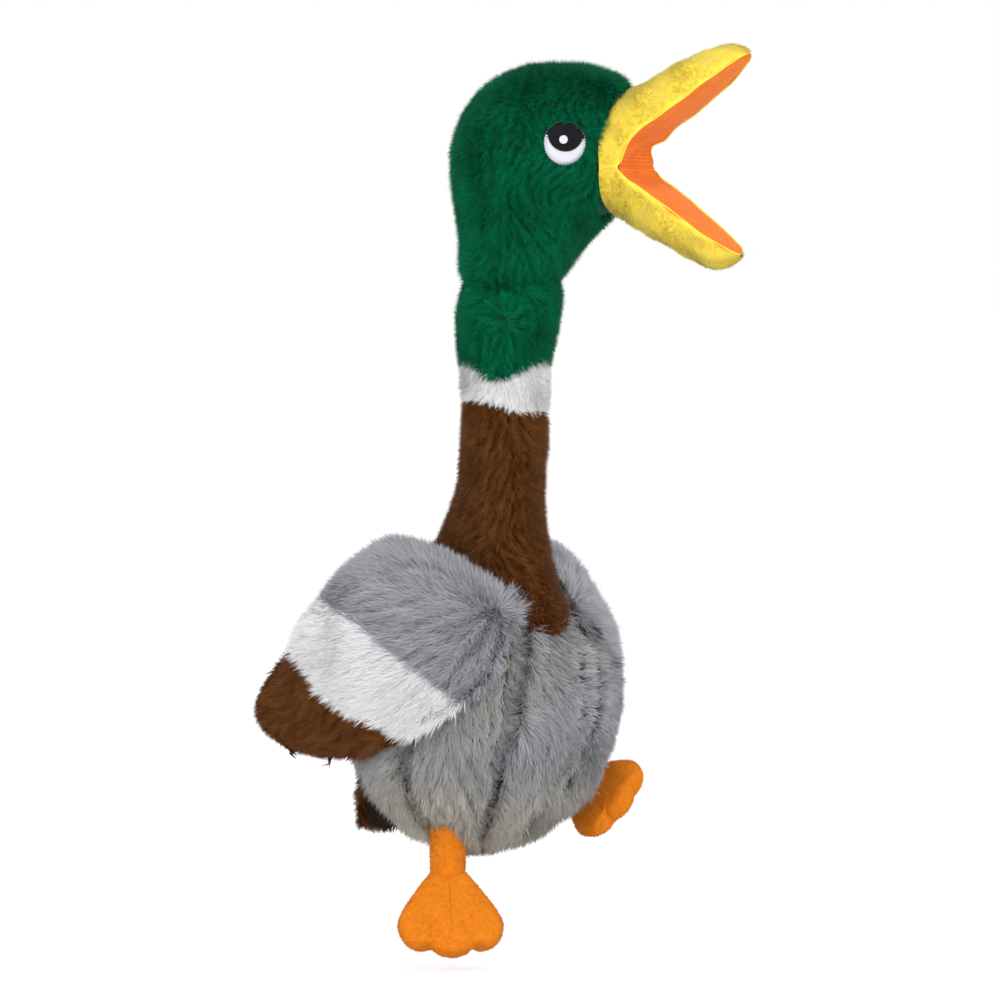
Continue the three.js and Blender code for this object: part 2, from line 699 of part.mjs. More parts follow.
// The ankle's ball is smaller than the hip's, so the tube narrows over its last stretch
function legShape(leg, grow, around = 16) {
  const hip = steps(5, 0.12, Math.PI / 2)
    .map((a) => [-(LEG_RADIUS + grow) * Math.cos(a), (LEG_RADIUS + grow) * Math.sin(a)])
  const ankle = steps(4, Math.PI / 2, Math.PI - 0.12)
    .map((a) => [LEG_LENGTH - (ANKLE_RADIUS + grow) * Math.cos(a), (ANKLE_RADIUS + grow) * Math.sin(a)])
  const narrowing = [LEG_LENGTH - LEG_TAPER, LEG_RADIUS + grow]
  return revolve(leg.hip, anklePoint(leg), [...hip, narrowing, ...ankle], around)
}

// A foot lies along +X from the ankle, its web spreading to three padded toes
function footShape() {
  const stations = [
    [-ANKLE_RADIUS, FOOT_HEEL_RADIUS * 0.8, FOOT_HEEL_RADIUS * 0.8],
    [0, FOOT_HEEL_RADIUS, FOOT_HEEL_RADIUS],
    [FOOT_LENGTH * 0.17, FOOT_HALF_WIDTH * 0.58, FOOT_HEEL_RADIUS - 1],
    [FOOT_LENGTH * 0.34, FOOT_HALF_WIDTH * 0.84, FOOT_THICKNESS * 0.6],
    [FOOT_LENGTH * 0.56, FOOT_HALF_WIDTH * 0.98, FOOT_THICKNESS * 0.52],
    [FOOT_LENGTH * 0.75, FOOT_HALF_WIDTH * 0.96, FOOT_THICKNESS * 0.45],
    [FOOT_LENGTH * 0.86, FOOT_HALF_WIDTH * 0.84, FOOT_THICKNESS * 0.3],
  ]
  let foot = loft(stations.map(([x, halfWidth, halfHeight]) =>
    ring(14, (a) => vec(x, halfWidth * Math.cos(a), halfHeight * Math.sin(a)))))
  for (const place of steps(TOE_COUNT - 1, -1, 1)) {
    const toe = new THREE.SphereGeometry(TOE_RADIUS, 12, 8)
    toe.scale(1.1, 1, FOOT_THICKNESS / 2 / TOE_RADIUS)
    toe.rotateZ(place * 0.45)
    const forward = FOOT_LENGTH - 1.1 * TOE_RADIUS - 4 * Math.abs(place)
    toe.translate(forward, place * (FOOT_HALF_WIDTH - TOE_RADIUS), 0)
    foot = foot.add(solid(toe))
  }
  return foot
}

function footFrame(leg) {
  const forward = leg.toes.clone().normalize()
  const across = leg.upper.clone().cross(forward).normalize()
  const up = forward.clone().cross(across)
  return new THREE.Matrix4().makeBasis(forward, across, up).setPosition(anklePoint(leg))
}

function addLeg(name, leg) {
  addPart(`leg_${name}`, legShape(leg, 0), COLOURS.orange)
  const frame = footFrame(leg)
  const ankle = anklePoint(leg)
  const rim = ankle.clone().addScaledVector(leg.down, rise(ANKLE_RADIUS, ANKLE_SWING))
  const foot = placed(footShape(), frame)
    .subtract(halfSpace(rim, leg.down.clone().negate()))
    .subtract(ball(ankle, ANKLE_RADIUS + SEAT_GAP, 16, 10))
  const up = vec(0, 0, 1).transformDirection(frame)
  const over = halfSpace(ankle.clone().addScaledVector(up, SEAM_GAP / 2), up)
  const below = halfSpace(ankle.clone().addScaledVector(up, -SEAM_GAP / 2), up.clone().negate())
  addPart(`foot_${name}_top`, foot.intersect(over), COLOURS.orange)
  addPart(`foot_${name}_sole`, foot.intersect(below), COLOURS.orange)
}

// A hip's seat: a dish for the leg's ball and a funnel as wide as its splay
function hipSeat(leg) {
  const half = radians(HIP_SPLAY / 2)
  const middle = leg.down.clone().applyAxisAngle(vec(0, leg.splay, 0), half)
  const tube = LEG_RADIUS + SWEEP_GAP
  const radiusAt = (along) => tube / Math.cos(half) + along * Math.tan(half)
  const start = -tube * Math.sin(half)
  const funnel = revolve(leg.hip, leg.hip.clone().add(middle), [
    [start, radiusAt(start)],
    [LEG_LENGTH, radiusAt(LEG_LENGTH)],
  ], 16)
  return funnel.add(ball(leg.hip, LEG_RADIUS + SEAT_GAP, 16, 10))
}

const hipSeats = Object.values(legSides).map(hipSeat).reduce((whole, next) => whole.add(next))

// Tail: two layers along a curve in the middle plane
function tailPoint(share, across, out) {
  const curve = new THREE.QuadraticBezierCurve(
    new THREE.Vector2(TAIL_ROOT_BACK, -TAIL_ROOT_DOWN),
    new THREE.Vector2(TAIL_ROOT_BACK + TAIL_REACH * 1.15, -TAIL_ROOT_DOWN),
    new THREE.Vector2(TAIL_ROOT_BACK + TAIL_REACH, -TAIL_ROOT_DOWN - TAIL_DROP),
  )
  const middle = curve.getPoint(share)
  const tangent = curve.getTangent(share)
  const y = middle.x - tangent.y * out
  const z = middle.y + tangent.x * out
  return vec(across, y, z).add(bodyCentre)
}

function tailSlab(shares, halfWidthAt, inner, outer) {
  return loft(shares.map((share) => {
    const half = halfWidthAt(share)
    return ring(14, (a) => {
      const side = Math.sign(Math.cos(a)) * Math.abs(Math.cos(a)) ** 0.6
      const layer = (outer + inner) / 2 + ((outer - inner) / 2) * Math.sin(a)
      return tailPoint(share, half * side, layer)
    })
  }))
}

const tailRootPoint = vec(0, TAIL_ROOT_BACK, -TAIL_ROOT_DOWN).add(bodyCentre)
function tailRoot(grow) {
  const half = vec(TAIL_HALF_WIDTH - TAIL_ROOT_RADIUS - 3, 0, 0)
  const [from, to] = [tailRootPoint.clone().sub(half), tailRootPoint.clone().add(half)]
  const radius = TAIL_ROOT_RADIUS + grow
  return revolve(from, to, roundEnded(radius, radius, from.distanceTo(to), 4), 14)
}

function tailWidth(share) {
  return (TAIL_HALF_WIDTH - 3 * (1 - share)) * Math.sqrt(1 - Math.max(0, share - 0.8) ** 2 * 18)
}

// The space that the tail and its root pass through as the tail lifts
function tailSeat() {
  const outer = TAIL_THICKNESS / 2 + SWEEP_GAP
  const near = tailSlab([0.02, 0.15, 0.3], (share) => tailWidth(share) + SWEEP_GAP, -outer, outer)
  return swept(near, tailRootPoint, vec(1, 0, 0), 0, TAIL_LIFT, 4).add(tailRoot(SEAT_GAP))
}

function addTail() {
  const shares = [0.02, 0.2, 0.4, 0.6, 0.8, 0.92, 1]
  const outer = tailSlab(shares, tailWidth, -TAIL_THICKNESS / 2, TAIL_THICKNESS / 2)
  const lining = (grow) => tailSlab(
    [0.3 - grow / 80, 0.5, 0.7, 0.9 + grow / 60],
    (share) => tailWidth(share) - TAIL_LINING_INSET + grow,
    -TAIL_THICKNESS / 2 - grow,
    -TAIL_THICKNESS / 2 + TAIL_LINING_THICKNESS + grow,
  )
  const clearOfBody = bodyShape(SEAT_GAP, 0, 24, 12)
  const plush = outer.subtract(clearOfBody).add(tailRoot(0)).subtract(lining(SEAM_GAP))
  addPart('tail', plush, COLOURS.brown)
  addPart('tail_lining', lining(0).subtract(clearOfBody), COLOURS.darkBrown)
}

function addBody() {
  const hollow = bodyShape(-PANEL_THICKNESS, 0, 16, 8)
  const seats = wingSeats.add(hipSeats).add(tailSeat())
  const shell = bodyShape(0).subtract(hollow).subtract(seats)
  for (let number = 0; number < GORE_COUNT; number++) {
    addPart(`body_panel_${number + 1}`, shell.intersect(goreWedge(number)), COLOURS.grey)
  }
  const at = (up) => bodyCentre.clone().add(vec(0, 0, up))
  const [foot, head] = [-HONKER_LENGTH / 2, HONKER_LENGTH / 2]
  const pocket = rod(at(foot - SEAM_GAP), at(BODY_HALF_HEIGHT), HONKER_RADIUS + SEAM_GAP)
  const core = bodyShape(-PANEL_THICKNESS - SEAM_GAP, 0, 16, 8)
  addPart('body_filling', core.subtract(seats).subtract(pocket), COLOURS.filling)

  const seam = head - HONKER_CAP_HEIGHT
  const ribs = steps(HONKER_RIBS, at(foot).z, at(seam - SEAM_GAP).z)
  const bellows = column(ribs.map((z, k) => [z, HONKER_RADIUS - (k % 2), 0, bodyCentre.y]), 16)
    .subtract(rod(at(foot + HONKER_WALL), at(head), HONKER_RADIUS - 1 - HONKER_WALL, 16))
  addPart('honker_bellows', bellows, COLOURS.plastic, { roughness: 0.5, metalness: 0 })
  const cap = rod(at(seam), at(head), HONKER_RADIUS - 1, 16)
    .subtract(rod(at(seam - 1), at(head + 1), HONKER_REED_BORE, 10))
  addPart('honker_cap', cap, COLOURS.plastic, { roughness: 0.4, metalness: 0 })
}

addBody()
for (const [name, side] of Object.entries(wingSides)) addWing(name, side)
addNeck()
addHead()
for (const [name, leg] of Object.entries(legSides)) addLeg(name, leg)
addTail()

export default toy
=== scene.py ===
"""The looks of a long-necked plush duck: skins, pile, embroidery, light and camera.

Shapes are worked out in millimetres and put into the meshes in metres.
"""

import json
import math

import bpy
import numpy as np
from bpy.props import FloatProperty, FloatVectorProperty, PointerProperty
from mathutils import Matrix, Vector

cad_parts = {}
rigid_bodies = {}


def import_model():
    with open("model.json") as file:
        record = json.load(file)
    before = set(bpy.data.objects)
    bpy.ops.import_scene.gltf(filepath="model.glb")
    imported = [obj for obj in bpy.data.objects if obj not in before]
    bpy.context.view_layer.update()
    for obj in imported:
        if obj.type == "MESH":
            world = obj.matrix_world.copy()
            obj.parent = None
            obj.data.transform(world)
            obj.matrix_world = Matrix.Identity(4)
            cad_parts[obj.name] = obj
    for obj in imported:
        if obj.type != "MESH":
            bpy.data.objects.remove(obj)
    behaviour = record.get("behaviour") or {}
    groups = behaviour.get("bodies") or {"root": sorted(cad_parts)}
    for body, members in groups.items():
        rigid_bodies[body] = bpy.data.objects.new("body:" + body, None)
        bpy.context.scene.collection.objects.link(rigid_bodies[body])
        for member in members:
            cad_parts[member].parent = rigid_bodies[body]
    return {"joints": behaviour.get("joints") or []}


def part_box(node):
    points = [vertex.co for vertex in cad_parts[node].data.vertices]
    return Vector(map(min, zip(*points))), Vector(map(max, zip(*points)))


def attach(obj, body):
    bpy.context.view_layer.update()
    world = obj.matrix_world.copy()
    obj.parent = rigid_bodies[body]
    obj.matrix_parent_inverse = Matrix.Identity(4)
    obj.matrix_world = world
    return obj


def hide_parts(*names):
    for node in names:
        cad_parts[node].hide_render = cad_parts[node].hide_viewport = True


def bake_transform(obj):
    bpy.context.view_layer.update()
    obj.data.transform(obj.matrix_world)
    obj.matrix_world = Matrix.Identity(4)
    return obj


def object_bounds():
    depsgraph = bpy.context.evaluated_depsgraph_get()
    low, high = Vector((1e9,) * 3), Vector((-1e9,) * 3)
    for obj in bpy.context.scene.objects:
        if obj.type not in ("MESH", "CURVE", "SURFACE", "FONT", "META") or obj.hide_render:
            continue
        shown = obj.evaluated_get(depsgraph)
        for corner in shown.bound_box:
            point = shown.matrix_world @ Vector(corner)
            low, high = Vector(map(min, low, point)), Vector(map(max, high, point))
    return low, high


bl_info = {
    "name": "Plush duck toy",
    "version": (1, 0, 0),
    "blender": (4, 5, 0),
    "location": "3D View > Sidebar > Plush Duck",
    "description": "Skins, pile, embroidery and stage of a long-necked plush duck",
    "category": "Object",
}

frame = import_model()
CAD_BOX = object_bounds()
MM = 0.001


# What the frame says, in millimetres


def joint(name):
    """The place and the unit axis of a CAD joint."""
    found = next(j for j in frame["joints"] if j["name"] == name)
    axis = np.array(found["axis"], float)
    return np.array(found["pos_m"], float) / MM, axis / np.linalg.norm(axis)


def corners(*nodes):
    """The lowest and the highest corner round some CAD nodes."""
    boxes = np.array([[list(c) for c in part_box(node)] for node in nodes]) / MM
    return boxes[:, 0].min(0), boxes[:, 1].max(0)


PANELS = [f"body_panel_{number}" for number in range(1, 9)]
BODY_LOW, BODY_HIGH = corners(*PANELS)
BODY_CENTRE = (BODY_LOW + BODY_HIGH) / 2
BODY_RADIUS = (BODY_HIGH[0] - BODY_LOW[0]) / 2
BODY_HALF_HEIGHT = (BODY_HIGH[2] - BODY_LOW[2]) / 2
COLLAR_TOP = corners("collar")[1][2]
COLLAR_BOTTOM = corners("lower_neck")[1][2]
NECK_RADIUS = (corners("lower_neck")[1][0] - corners("lower_neck")[0][0]) / 2 - 0.8
NOD_PIVOT, HEAD_LEFT = joint("head_nod")
HEAD_FORWARD = np.cross(HEAD_LEFT, [0, 0, 1])
BEAK_HINGE, _ = joint("upper_beak_close")
BEAK_FORWARD = BEAK_HINGE @ HEAD_FORWARD
BEAK_UP = BEAK_HINGE[2]
UP = np.array([0.0, 0.0, 1.0])
VIEW_RIGHT = np.array([0.819, -0.574, 0.0])  # across the picture


# Smooth curves, smooth noise and surfaces


def through(rows):
    """A smooth curve through rows of numbers, from 0 to 1.

    Each stretch is a cubic whose slope at a row is half the step between its neighbours.
    """
    rows = np.asarray(rows, float)
    more = np.vstack([2 * rows[0] - rows[1], rows, 2 * rows[-1] - rows[-2]])

    def at(t):
        x = np.clip(t, 0, 1) * (len(rows) - 1)
        i = np.minimum(x.astype(int), len(rows) - 2)
        f = (x - i)[..., None]
        a, b, c, d = more[i], more[i + 1], more[i + 2], more[i + 3]
        bend = (2 * a - 5 * b + 4 * c - d) * f**2 + (3 * b - a - 3 * c + d) * f**3
        return b + 0.5 * ((c - a) * f + bend)

    return at


def unit(v):
    """Vectors at length one."""
    return v / (np.linalg.norm(v, axis=-1, keepdims=True) + 1e-9)


def smooth(low, high, x):
    """0 below low, 1 above high, and the cubic 3t^2 - 2t^3 between them."""
    t = np.clip((x - low) / (high - low), 0, 1)
    return t * t * (3 - 2 * t)


def power(x, exponent):
    """A power that keeps the sign of its base."""
    return np.sign(x) * np.abs(x) ** exponent


class Waves:
    """Smooth noise: a sum of sine waves of about one length in seeded directions."""

    def __init__(self, seed, wavelength, count=20):
        rng = np.random.default_rng(seed)
        turn = 2 * np.pi / (wavelength * rng.uniform(0.7, 1.5, count))
        self.waves = unit(rng.normal(size=(count, 3))) * turn[:, None]
        self.phase = rng.uniform(0, 2 * np.pi, count)
        self.wavelength = wavelength

    def value(self, p):
        """The sum of the sines, about -2 to 2."""
        return np.sin(p @ self.waves.T + self.phase).sum(-1) * math.sqrt(2 / len(self.phase))

    def streaks(self, p, along, reach):
        """The noise and its slope, drawn out along a direction.

        Each wave fades by exp(-(what it turns over the reach)^2 / 2), so only the waves that
        cross the direction stay. The slope is scaled to about the size of the noise.
        """
        phase = p @ self.waves.T + self.phase
        strength = np.exp(-0.5 * (along @ self.waves.T * reach) ** 2)
        strength *= np.sqrt(2 / (strength**2).sum(-1, keepdims=True))
        value = (np.sin(phase) * strength).sum(-1)
        slope = (np.cos(phase) * strength) @ self.waves
        return value, slope * self.wavelength / (2 * np.pi)


class Cloth:
    """A surface held as a grid of points, with its outward normals and its run along v.

    The points are those of a function of u and v, moved in along the normal by a depth. The
    normal is the cross product of the differences between neighbours, times the side.
    """

    def __init__(self, shape, side, depth=0.0, across=300, along=220, closed=True):
        self.closed, self.side = closed, side
        self.u = np.arange(across + (not closed)) / across
        self.v = np.linspace(0, 1, along + 1)
        u, v = np.meshgrid(self.u, self.v)
        self.points = shape(u, v)
        normals, _ = self.directions()
        self.points = self.points - normals * (depth(u, v)[..., None] if callable(depth) else depth)
        self.normals, self.down = self.directions()

    def directions(self):
        """The unit normals and the unit run along v at every point of the grid."""
        points = self.points
        if self.closed:
            over = np.roll(points, -1, 1) - np.roll(points, 1, 1)
        else:
            over = np.gradient(points, axis=1)
        down = np.gradient(points, axis=0)
        normals = np.cross(over, down) * self.side
        size = np.linalg.norm(normals, axis=-1)
        for row, inner in ((0, 1), (-1, -2)):
            flat = size[row] < size[inner] * 0.02
            normals[row][flat] = normals[inner][flat]
        return unit(normals), unit(down)

    def at(self, u, v, *fields):
        """Fields of the grid between its points, by straight lines both ways."""
        columns = len(self.u)
        x = u * (columns if self.closed else columns - 1)
        i = np.floor(x).astype(int)
        if not self.closed:
            i = np.clip(i, 0, columns - 2)
        y = np.clip(v, 0, 1) * (len(self.v) - 1)
        j = np.minimum(y.astype(int), len(self.v) - 2)
        fx, fy = (x - i)[:, None], (y - j)[:, None]
        left, right = i % columns, (i + 1) % columns
        found = []
        for field in fields:
            upper = field[j, left] * (1 - fx) + field[j, right] * fx
            lower = field[j + 1, left] * (1 - fx) + field[j + 1, right] * fx
            found.append(upper * (1 - fy) + lower * fy)
        return found

    def scatter(self, density, rng, u_range):
        """Seeded parameters spread evenly: cells are drawn in proportion to their area."""
        points = self.points
        rights = np.roll(points, -1, 1) if self.closed else points[:, 1:]
        lefts = points if self.closed else points[:, :-1]
        area = np.linalg.norm(np.cross((rights - lefts)[:-1], (lefts[1:] - lefts[:-1])), axis=-1)
        middle = (self.u[: area.shape[1]] + 0.5 * self.u[1] - u_range[0]) % 1
        if u_range[1] - u_range[0] < 1:
            area = area * (middle < u_range[1] - u_range[0])
        share = area.ravel() / area.sum()
        picked = rng.choice(len(share), int(area.sum() * density), p=share)
        row, column = np.divmod(picked, area.shape[1])
        shift = rng.random((2, len(picked)))
        return (column + shift[0]) * self.u[1], (row + shift[1]) * self.v[1]


# Meshes


MAP_NAME = "OFBake"


def mesh_object(name, points, faces, material):
    """A mesh at the origin from points in millimetres and faces as lists of corners."""
    mesh = bpy.data.meshes.new(name)
    mesh.from_pydata((np.asarray(points) * MM).tolist(), [], faces)
    mesh.polygons.foreach_set("use_smooth", [True] * len(mesh.polygons))
    mesh.materials.append(material)
    mesh.update()
    piece = bpy.data.objects.new(name, mesh)
    bpy.context.scene.collection.objects.link(piece)
    return piece


def skin(name, cloth, material, step=2, ends=(True, True)):
    """The cloth itself: every few points of its grid, and a fan over each end that closes."""
    points = cloth.points[::step, ::step]
    along, across = points.shape[:2]
    points = points.reshape(-1, 3)
    cells = np.arange(across if cloth.closed else across - 1)
    nexts = (cells + 1) % across
    rows = np.arange(along - 1)[:, None] * across
    quads = np.stack([rows + cells, rows + nexts, rows + nexts + across, rows + cells + across], -1)
    faces = quads.reshape(-1, 4)
    faces = (faces if cloth.side > 0 else faces[:, ::-1]).tolist()
    for wanted, start, turn in ((ends[0], 0, 1), (ends[1], (along - 1) * across, -1)):
        if not wanted:
            continue
        middle = len(points)
        points = np.vstack([points, points[start : start + across].mean(0)])
        fan = np.stack([start + nexts, start + cells, np.full(len(cells), middle)], -1)
        faces += (fan if cloth.side * turn > 0 else fan[:, ::-1]).tolist()
    return mesh_object(name, points, faces, material)


def lay_flat(piece, cloth, step=2):
    """A map of a skin from its cloth's own u and v."""
    u, v = np.meshgrid(cloth.u[::step], cloth.v[::step])
    flat = np.stack([u, v], -1).reshape(-1, 2)
    corner = np.empty(len(piece.data.loops), np.int32)
    piece.data.loops.foreach_get("vertex_index", corner)
    layer = piece.data.uv_layers.new(name=MAP_NAME)
    layer.data.foreach_set("uv", flat[corner].astype(np.float32).ravel())


STRAND_CORNERS = np.array([0, 1, 3, 1, 2, 3, 2, 0, 3])  # three sides over four points
ROOT_DEPTH = 0.6  # how far under the cloth a strand starts
TONES = 8  # across the map, from a plush's own shades to its other ones


def strand_mesh(name, points, lit, column, material):
    """A piece of strands: four points, one normal and one column of the map to each.

    On the map a strand runs up its column, with its root at the foot and its tip at the top.
    """
    count = len(points)
    mesh = bpy.data.meshes.new(name)
    mesh.vertices.add(count * 4)
    mesh.vertices.foreach_set("co", (points * MM).astype(np.float32).ravel())
    index = (np.arange(count) * 4)[:, None] + STRAND_CORNERS
    mesh.loops.add(count * 9)
    mesh.polygons.add(count * 3)
    mesh.loops.foreach_set("vertex_index", index.ravel().astype(np.int32))
    mesh.polygons.foreach_set("loop_start", (np.arange(count * 3) * 3).astype(np.int32))
    mesh.polygons.foreach_set("use_smooth", np.ones(count * 3, bool))
    mesh.update(calc_edges=True)
    normals = mesh.attributes.new("custom_normal", "FLOAT_VECTOR", "POINT")
    normals.data.foreach_set("vector", np.repeat(lit, 4, 0).astype(np.float32).ravel())
    corner_u = column[:, None] + np.array([-0.004, 0.004, 0, 0])
    corner_v = np.repeat(np.array([[0.02, 0.02, 0.05, 0.98]]), count, 0)
    places = np.stack([corner_u[:, STRAND_CORNERS], corner_v[:, STRAND_CORNERS]], -1)
    mesh.uv_layers.new(name=MAP_NAME).data.foreach_set("uv", places.astype(np.float32).ravel())
    mesh.materials.append(material)
    piece = bpy.data.objects.new(name, mesh)
    bpy.context.scene.collection.objects.link(piece)
    return piece


def pile(name, cloth, material, density, length, seed, **look):
    """Strands of pile on a cloth, each a spike with three sides.

    A strand leans from the normal towards the flow, which is the cloth's run along v turned
    by slow noise. Two streaky noises draw the tips together up their slopes into locks, tip
    the normals, and paint the ridges lighter and the hollows between the locks darker:
    painted light and shade.
    """
    lean = look.get("lean", 0.6)
    width = look.get("width", 0.7)
    lock = look.get("lock", 9.0)
    pull = look.get("pull", 1.0)
    relief = look.get("relief", 0.5)
    stray_size = look.get("stray", 0.16)
    rng = np.random.default_rng(seed)
    u, v = cloth.scatter(density, rng, look.get("u_range", (0, 1)))
    root, normal, flow = cloth.at(u, v, cloth.points, cloth.normals, cloth.down)
    if "keep" in look:
        chosen = look["keep"](root, u, v)
        u, v, root, normal, flow = (each[chosen] for each in (u, v, root, normal, flow))
    count = len(root)
    normal, flow = unit(normal), unit(flow)
    angle = Waves(5, look.get("swirl_size", 45.0)).value(root) * look.get("swirl", 0.4)
    if "turn" in look:
        angle = angle + look["turn"](root, u, v)
    flow = flow * np.cos(angle)[:, None] + np.cross(normal, flow) * np.sin(angle)[:, None]
    if "whorl" in look:
        flow = whorl(root, normal, flow, *look["whorl"])
    coarse, coarse_rise = Waves(9, lock * 0.55, 36).streaks(root, flow, lock * 0.45)
    fine, fine_rise = Waves(10, lock * 0.24, 36).streaks(root, flow, lock * 0.3)
    height = coarse * 0.7 + fine * 0.5
    rise = coarse_rise * 0.7 + fine_rise * 0.5
    rise -= normal * (rise * normal).sum(1, keepdims=True)
    tall = length(root, u, v) if callable(length) else np.full(count, float(length))
    tall = tall * (0.88 + 0.07 * np.clip(height, -1.6, 1.6) + rng.uniform(-0.16, 0.16, count))
    stray = rng.normal(size=(count, 3)) * stray_size
    run = unit(normal * (1.08 - 0.8 * lean) + flow * lean + stray + rise * pull * 0.2)
    base = root - normal * ROOT_DEPTH
    tip = base + run * tall[:, None]
    across = unit(np.cross(normal, run) + rng.normal(size=(count, 3)) * 0.3)
    under = np.cross(run, across)
    half = (width * rng.uniform(0.4, 0.6, count))[:, None]
    points = np.stack([base + across * half, base - across * half, base - under * half, tip], 1)
    lit = unit(normal - rise * relief + stray * 0.6)
    # Painted light and shade: lighter strands on the lock ridges and darker ones in the hollows,
    # over a random tone; dim paints more shade where a piece asks for it
    shade = 0.5 + look.get("contrast", 0.16) * height + rng.normal(size=count) * 0.08
    if "dim" in look:
        shade -= look["dim"](root, u, v)
    tone = np.clip(look["tint"](root, u, v), 0, 1) if "tint" in look else np.zeros(count)
    column = (np.round(tone * (TONES - 1)) + np.clip(shade, 0.06, 0.94)) / TONES
    return strand_mesh(name, points, lit, column, material)


def whorl(root, normal, flow, centre, reach):
    """Turns the flow outwards from a point, fully at the point and not at all past the reach."""
    away = root - centre
    distance = np.linalg.norm(away, axis=1)
    away -= normal * (away * normal).sum(1, keepdims=True)
    share = (1 - smooth(0.55 * reach, reach, distance))[:, None]
    return unit(unit(away) * share + flow * (1 - share))


# Materials


def linear(code):
    """A colour written as on a screen, six hex digits, in the renderer's linear values."""
    values = np.array([int(code[i : i + 2], 16) for i in (0, 2, 4)]) / 255
    return tuple(np.where(values < 0.04045, values / 12.92, ((values + 0.055) / 1.055) ** 2.4))


def new_material(name, roughness, sheen, specular=0.2):
    """A material with its node tree and its principled shader."""
    material = bpy.data.materials.new(name)
    material.use_nodes = True
    shader = material.node_tree.nodes["Principled BSDF"]
    shader.inputs["Roughness"].default_value = roughness
    shader.inputs["Specular IOR Level"].default_value = specular
    shader.inputs["Sheen Weight"].default_value = sheen
    shader.inputs["Sheen Roughness"].default_value = 0.5
    return material, material.node_tree, shader


def math_node(tree, operation, first, second=None):
    """A math node with each input either a number or another node's output."""
    node = tree.nodes.new("ShaderNodeMath")
    node.operation = operation
    for socket, value in zip(node.inputs, (first, second)):
        if value is None:
            continue
        if isinstance(value, (int, float)):
            socket.default_value = value
        else:
            tree.links.new(value, socket)
    return node.outputs[0]


def ramp(tree, factor, stops):
    """A colour ramp over a factor, with stops of place and colour."""
    node = tree.nodes.new("ShaderNodeValToRGB")
    elements = node.color_ramp.elements
    while len(elements) < len(stops):
        elements.new(0.5)
    for element, (place, colour) in zip(elements, stops):
        element.position = place
        element.color = (*colour, 1)
    tree.links.new(factor, node.inputs[0])
    return node.outputs[0]


def mix_colours(tree, factor, first, second):
    """One colour over another by a factor."""
    node = tree.nodes.new("ShaderNodeMix")
    node.data_type = "RGBA"
    tree.links.new(factor, node.inputs["Factor"])
    tree.links.new(first, node.inputs["A"])
    tree.links.new(second, node.inputs["B"])
    return node.outputs["Result"]


def own_map(tree):
    """A place on the mesh's own map."""
    place = tree.nodes.new("ShaderNodeUVMap")
    place.uv_map = MAP_NAME
    return place.outputs[0]


def object_noise(tree, grain, detail=2.0, roughness=0.5):
    """Noise in the object's own space, with a grain in millimetres."""
    where = tree.nodes.new("ShaderNodeTexCoord")
    noise = tree.nodes.new("ShaderNodeTexNoise")
    noise.inputs["Scale"].default_value = 1 / (grain * MM)
    noise.inputs["Detail"].default_value = detail
    noise.inputs["Roughness"].default_value = roughness
    tree.links.new(where.outputs["Object"], noise.inputs["Vector"])
    return noise.outputs["Fac"]


WAVE_SCALE = 0.314  # the wave texture's scale that gives one wave to a unit


def wave_bands(tree, place, direction, count, distortion, detail_scale=1.0):
    """Parallel waves along one direction of a place, so many to a unit."""
    wave = tree.nodes.new("ShaderNodeTexWave")
    wave.bands_direction = direction
    wave.inputs["Scale"].default_value = WAVE_SCALE * count
    wave.inputs["Distortion"].default_value = distortion
    wave.inputs["Detail Scale"].default_value = detail_scale
    tree.links.new(place, wave.inputs["Vector"])
    return wave.outputs["Fac"]


def raise_relief(tree, shader, height, strength, distance):
    """Tips the shader's normals by a height that spans a distance in millimetres."""
    relief = tree.nodes.new("ShaderNodeBump")
    relief.inputs["Strength"].default_value = strength
    relief.inputs["Distance"].default_value = distance * MM
    tree.links.new(height, relief.inputs["Height"])
    tree.links.new(relief.outputs[0], shader.inputs["Normal"])


SHADE_PLACES = (0.12, 0.5, 0.95)  # where a strand's dark, middle and light shades lie
OWN_SHARE = 0.62  # how much of a strand's shade is its own lightness
# The growth from the dark root to the light tip is painted shade down in the pile and painted light
# on its tips
GROWN_SHARE = 0.42  # how much of it grows from the root to the tip


def pile_material(name, shades, other, sheen):
    """Strands: dark at the root and light at the tip, by the strand's own map: painted shade down
    in the pile and painted light on its tips.

    Across the map lie the tones, from the shades to the other ones where a plush has them,
    and within each tone the strand's own lightness.
    """
    material, tree, shader = new_material(name, 0.9, sheen, specular=0.08)
    split = tree.nodes.new("ShaderNodeSeparateXYZ")
    tree.links.new(own_map(tree), split.inputs[0])
    across = math_node(tree, "MULTIPLY", split.outputs["X"], TONES)
    own = math_node(tree, "MULTIPLY", math_node(tree, "FRACT", across), OWN_SHARE)
    grown = math_node(tree, "MULTIPLY", split.outputs["Y"], GROWN_SHARE)
    value = math_node(tree, "ADD", own, grown)
    colour = ramp(tree, value, list(zip(SHADE_PLACES, shades)))
    if other:
        tone = math_node(tree, "DIVIDE", math_node(tree, "FLOOR", across), TONES - 1)
        colour = mix_colours(tree, tone, colour, ramp(tree, value, list(zip(SHADE_PLACES, other))))
    tree.links.new(colour, shader.inputs["Base Color"])
    return material


def cloth_material(name, dark, light, grain, bump, sheen):
    """Cloth under or without long pile: one noise in colour and relief, with painted shade where it
    sinks.
    """
    material, tree, shader = new_material(name, 0.9, sheen)
    noise = object_noise(tree, grain, 4.0, 0.65)
    tree.links.new(ramp(tree, noise, [(0.3, dark), (0.72, light)]), shader.inputs["Base Color"])
    raise_relief(tree, shader, noise, 0.8, bump)
    return material


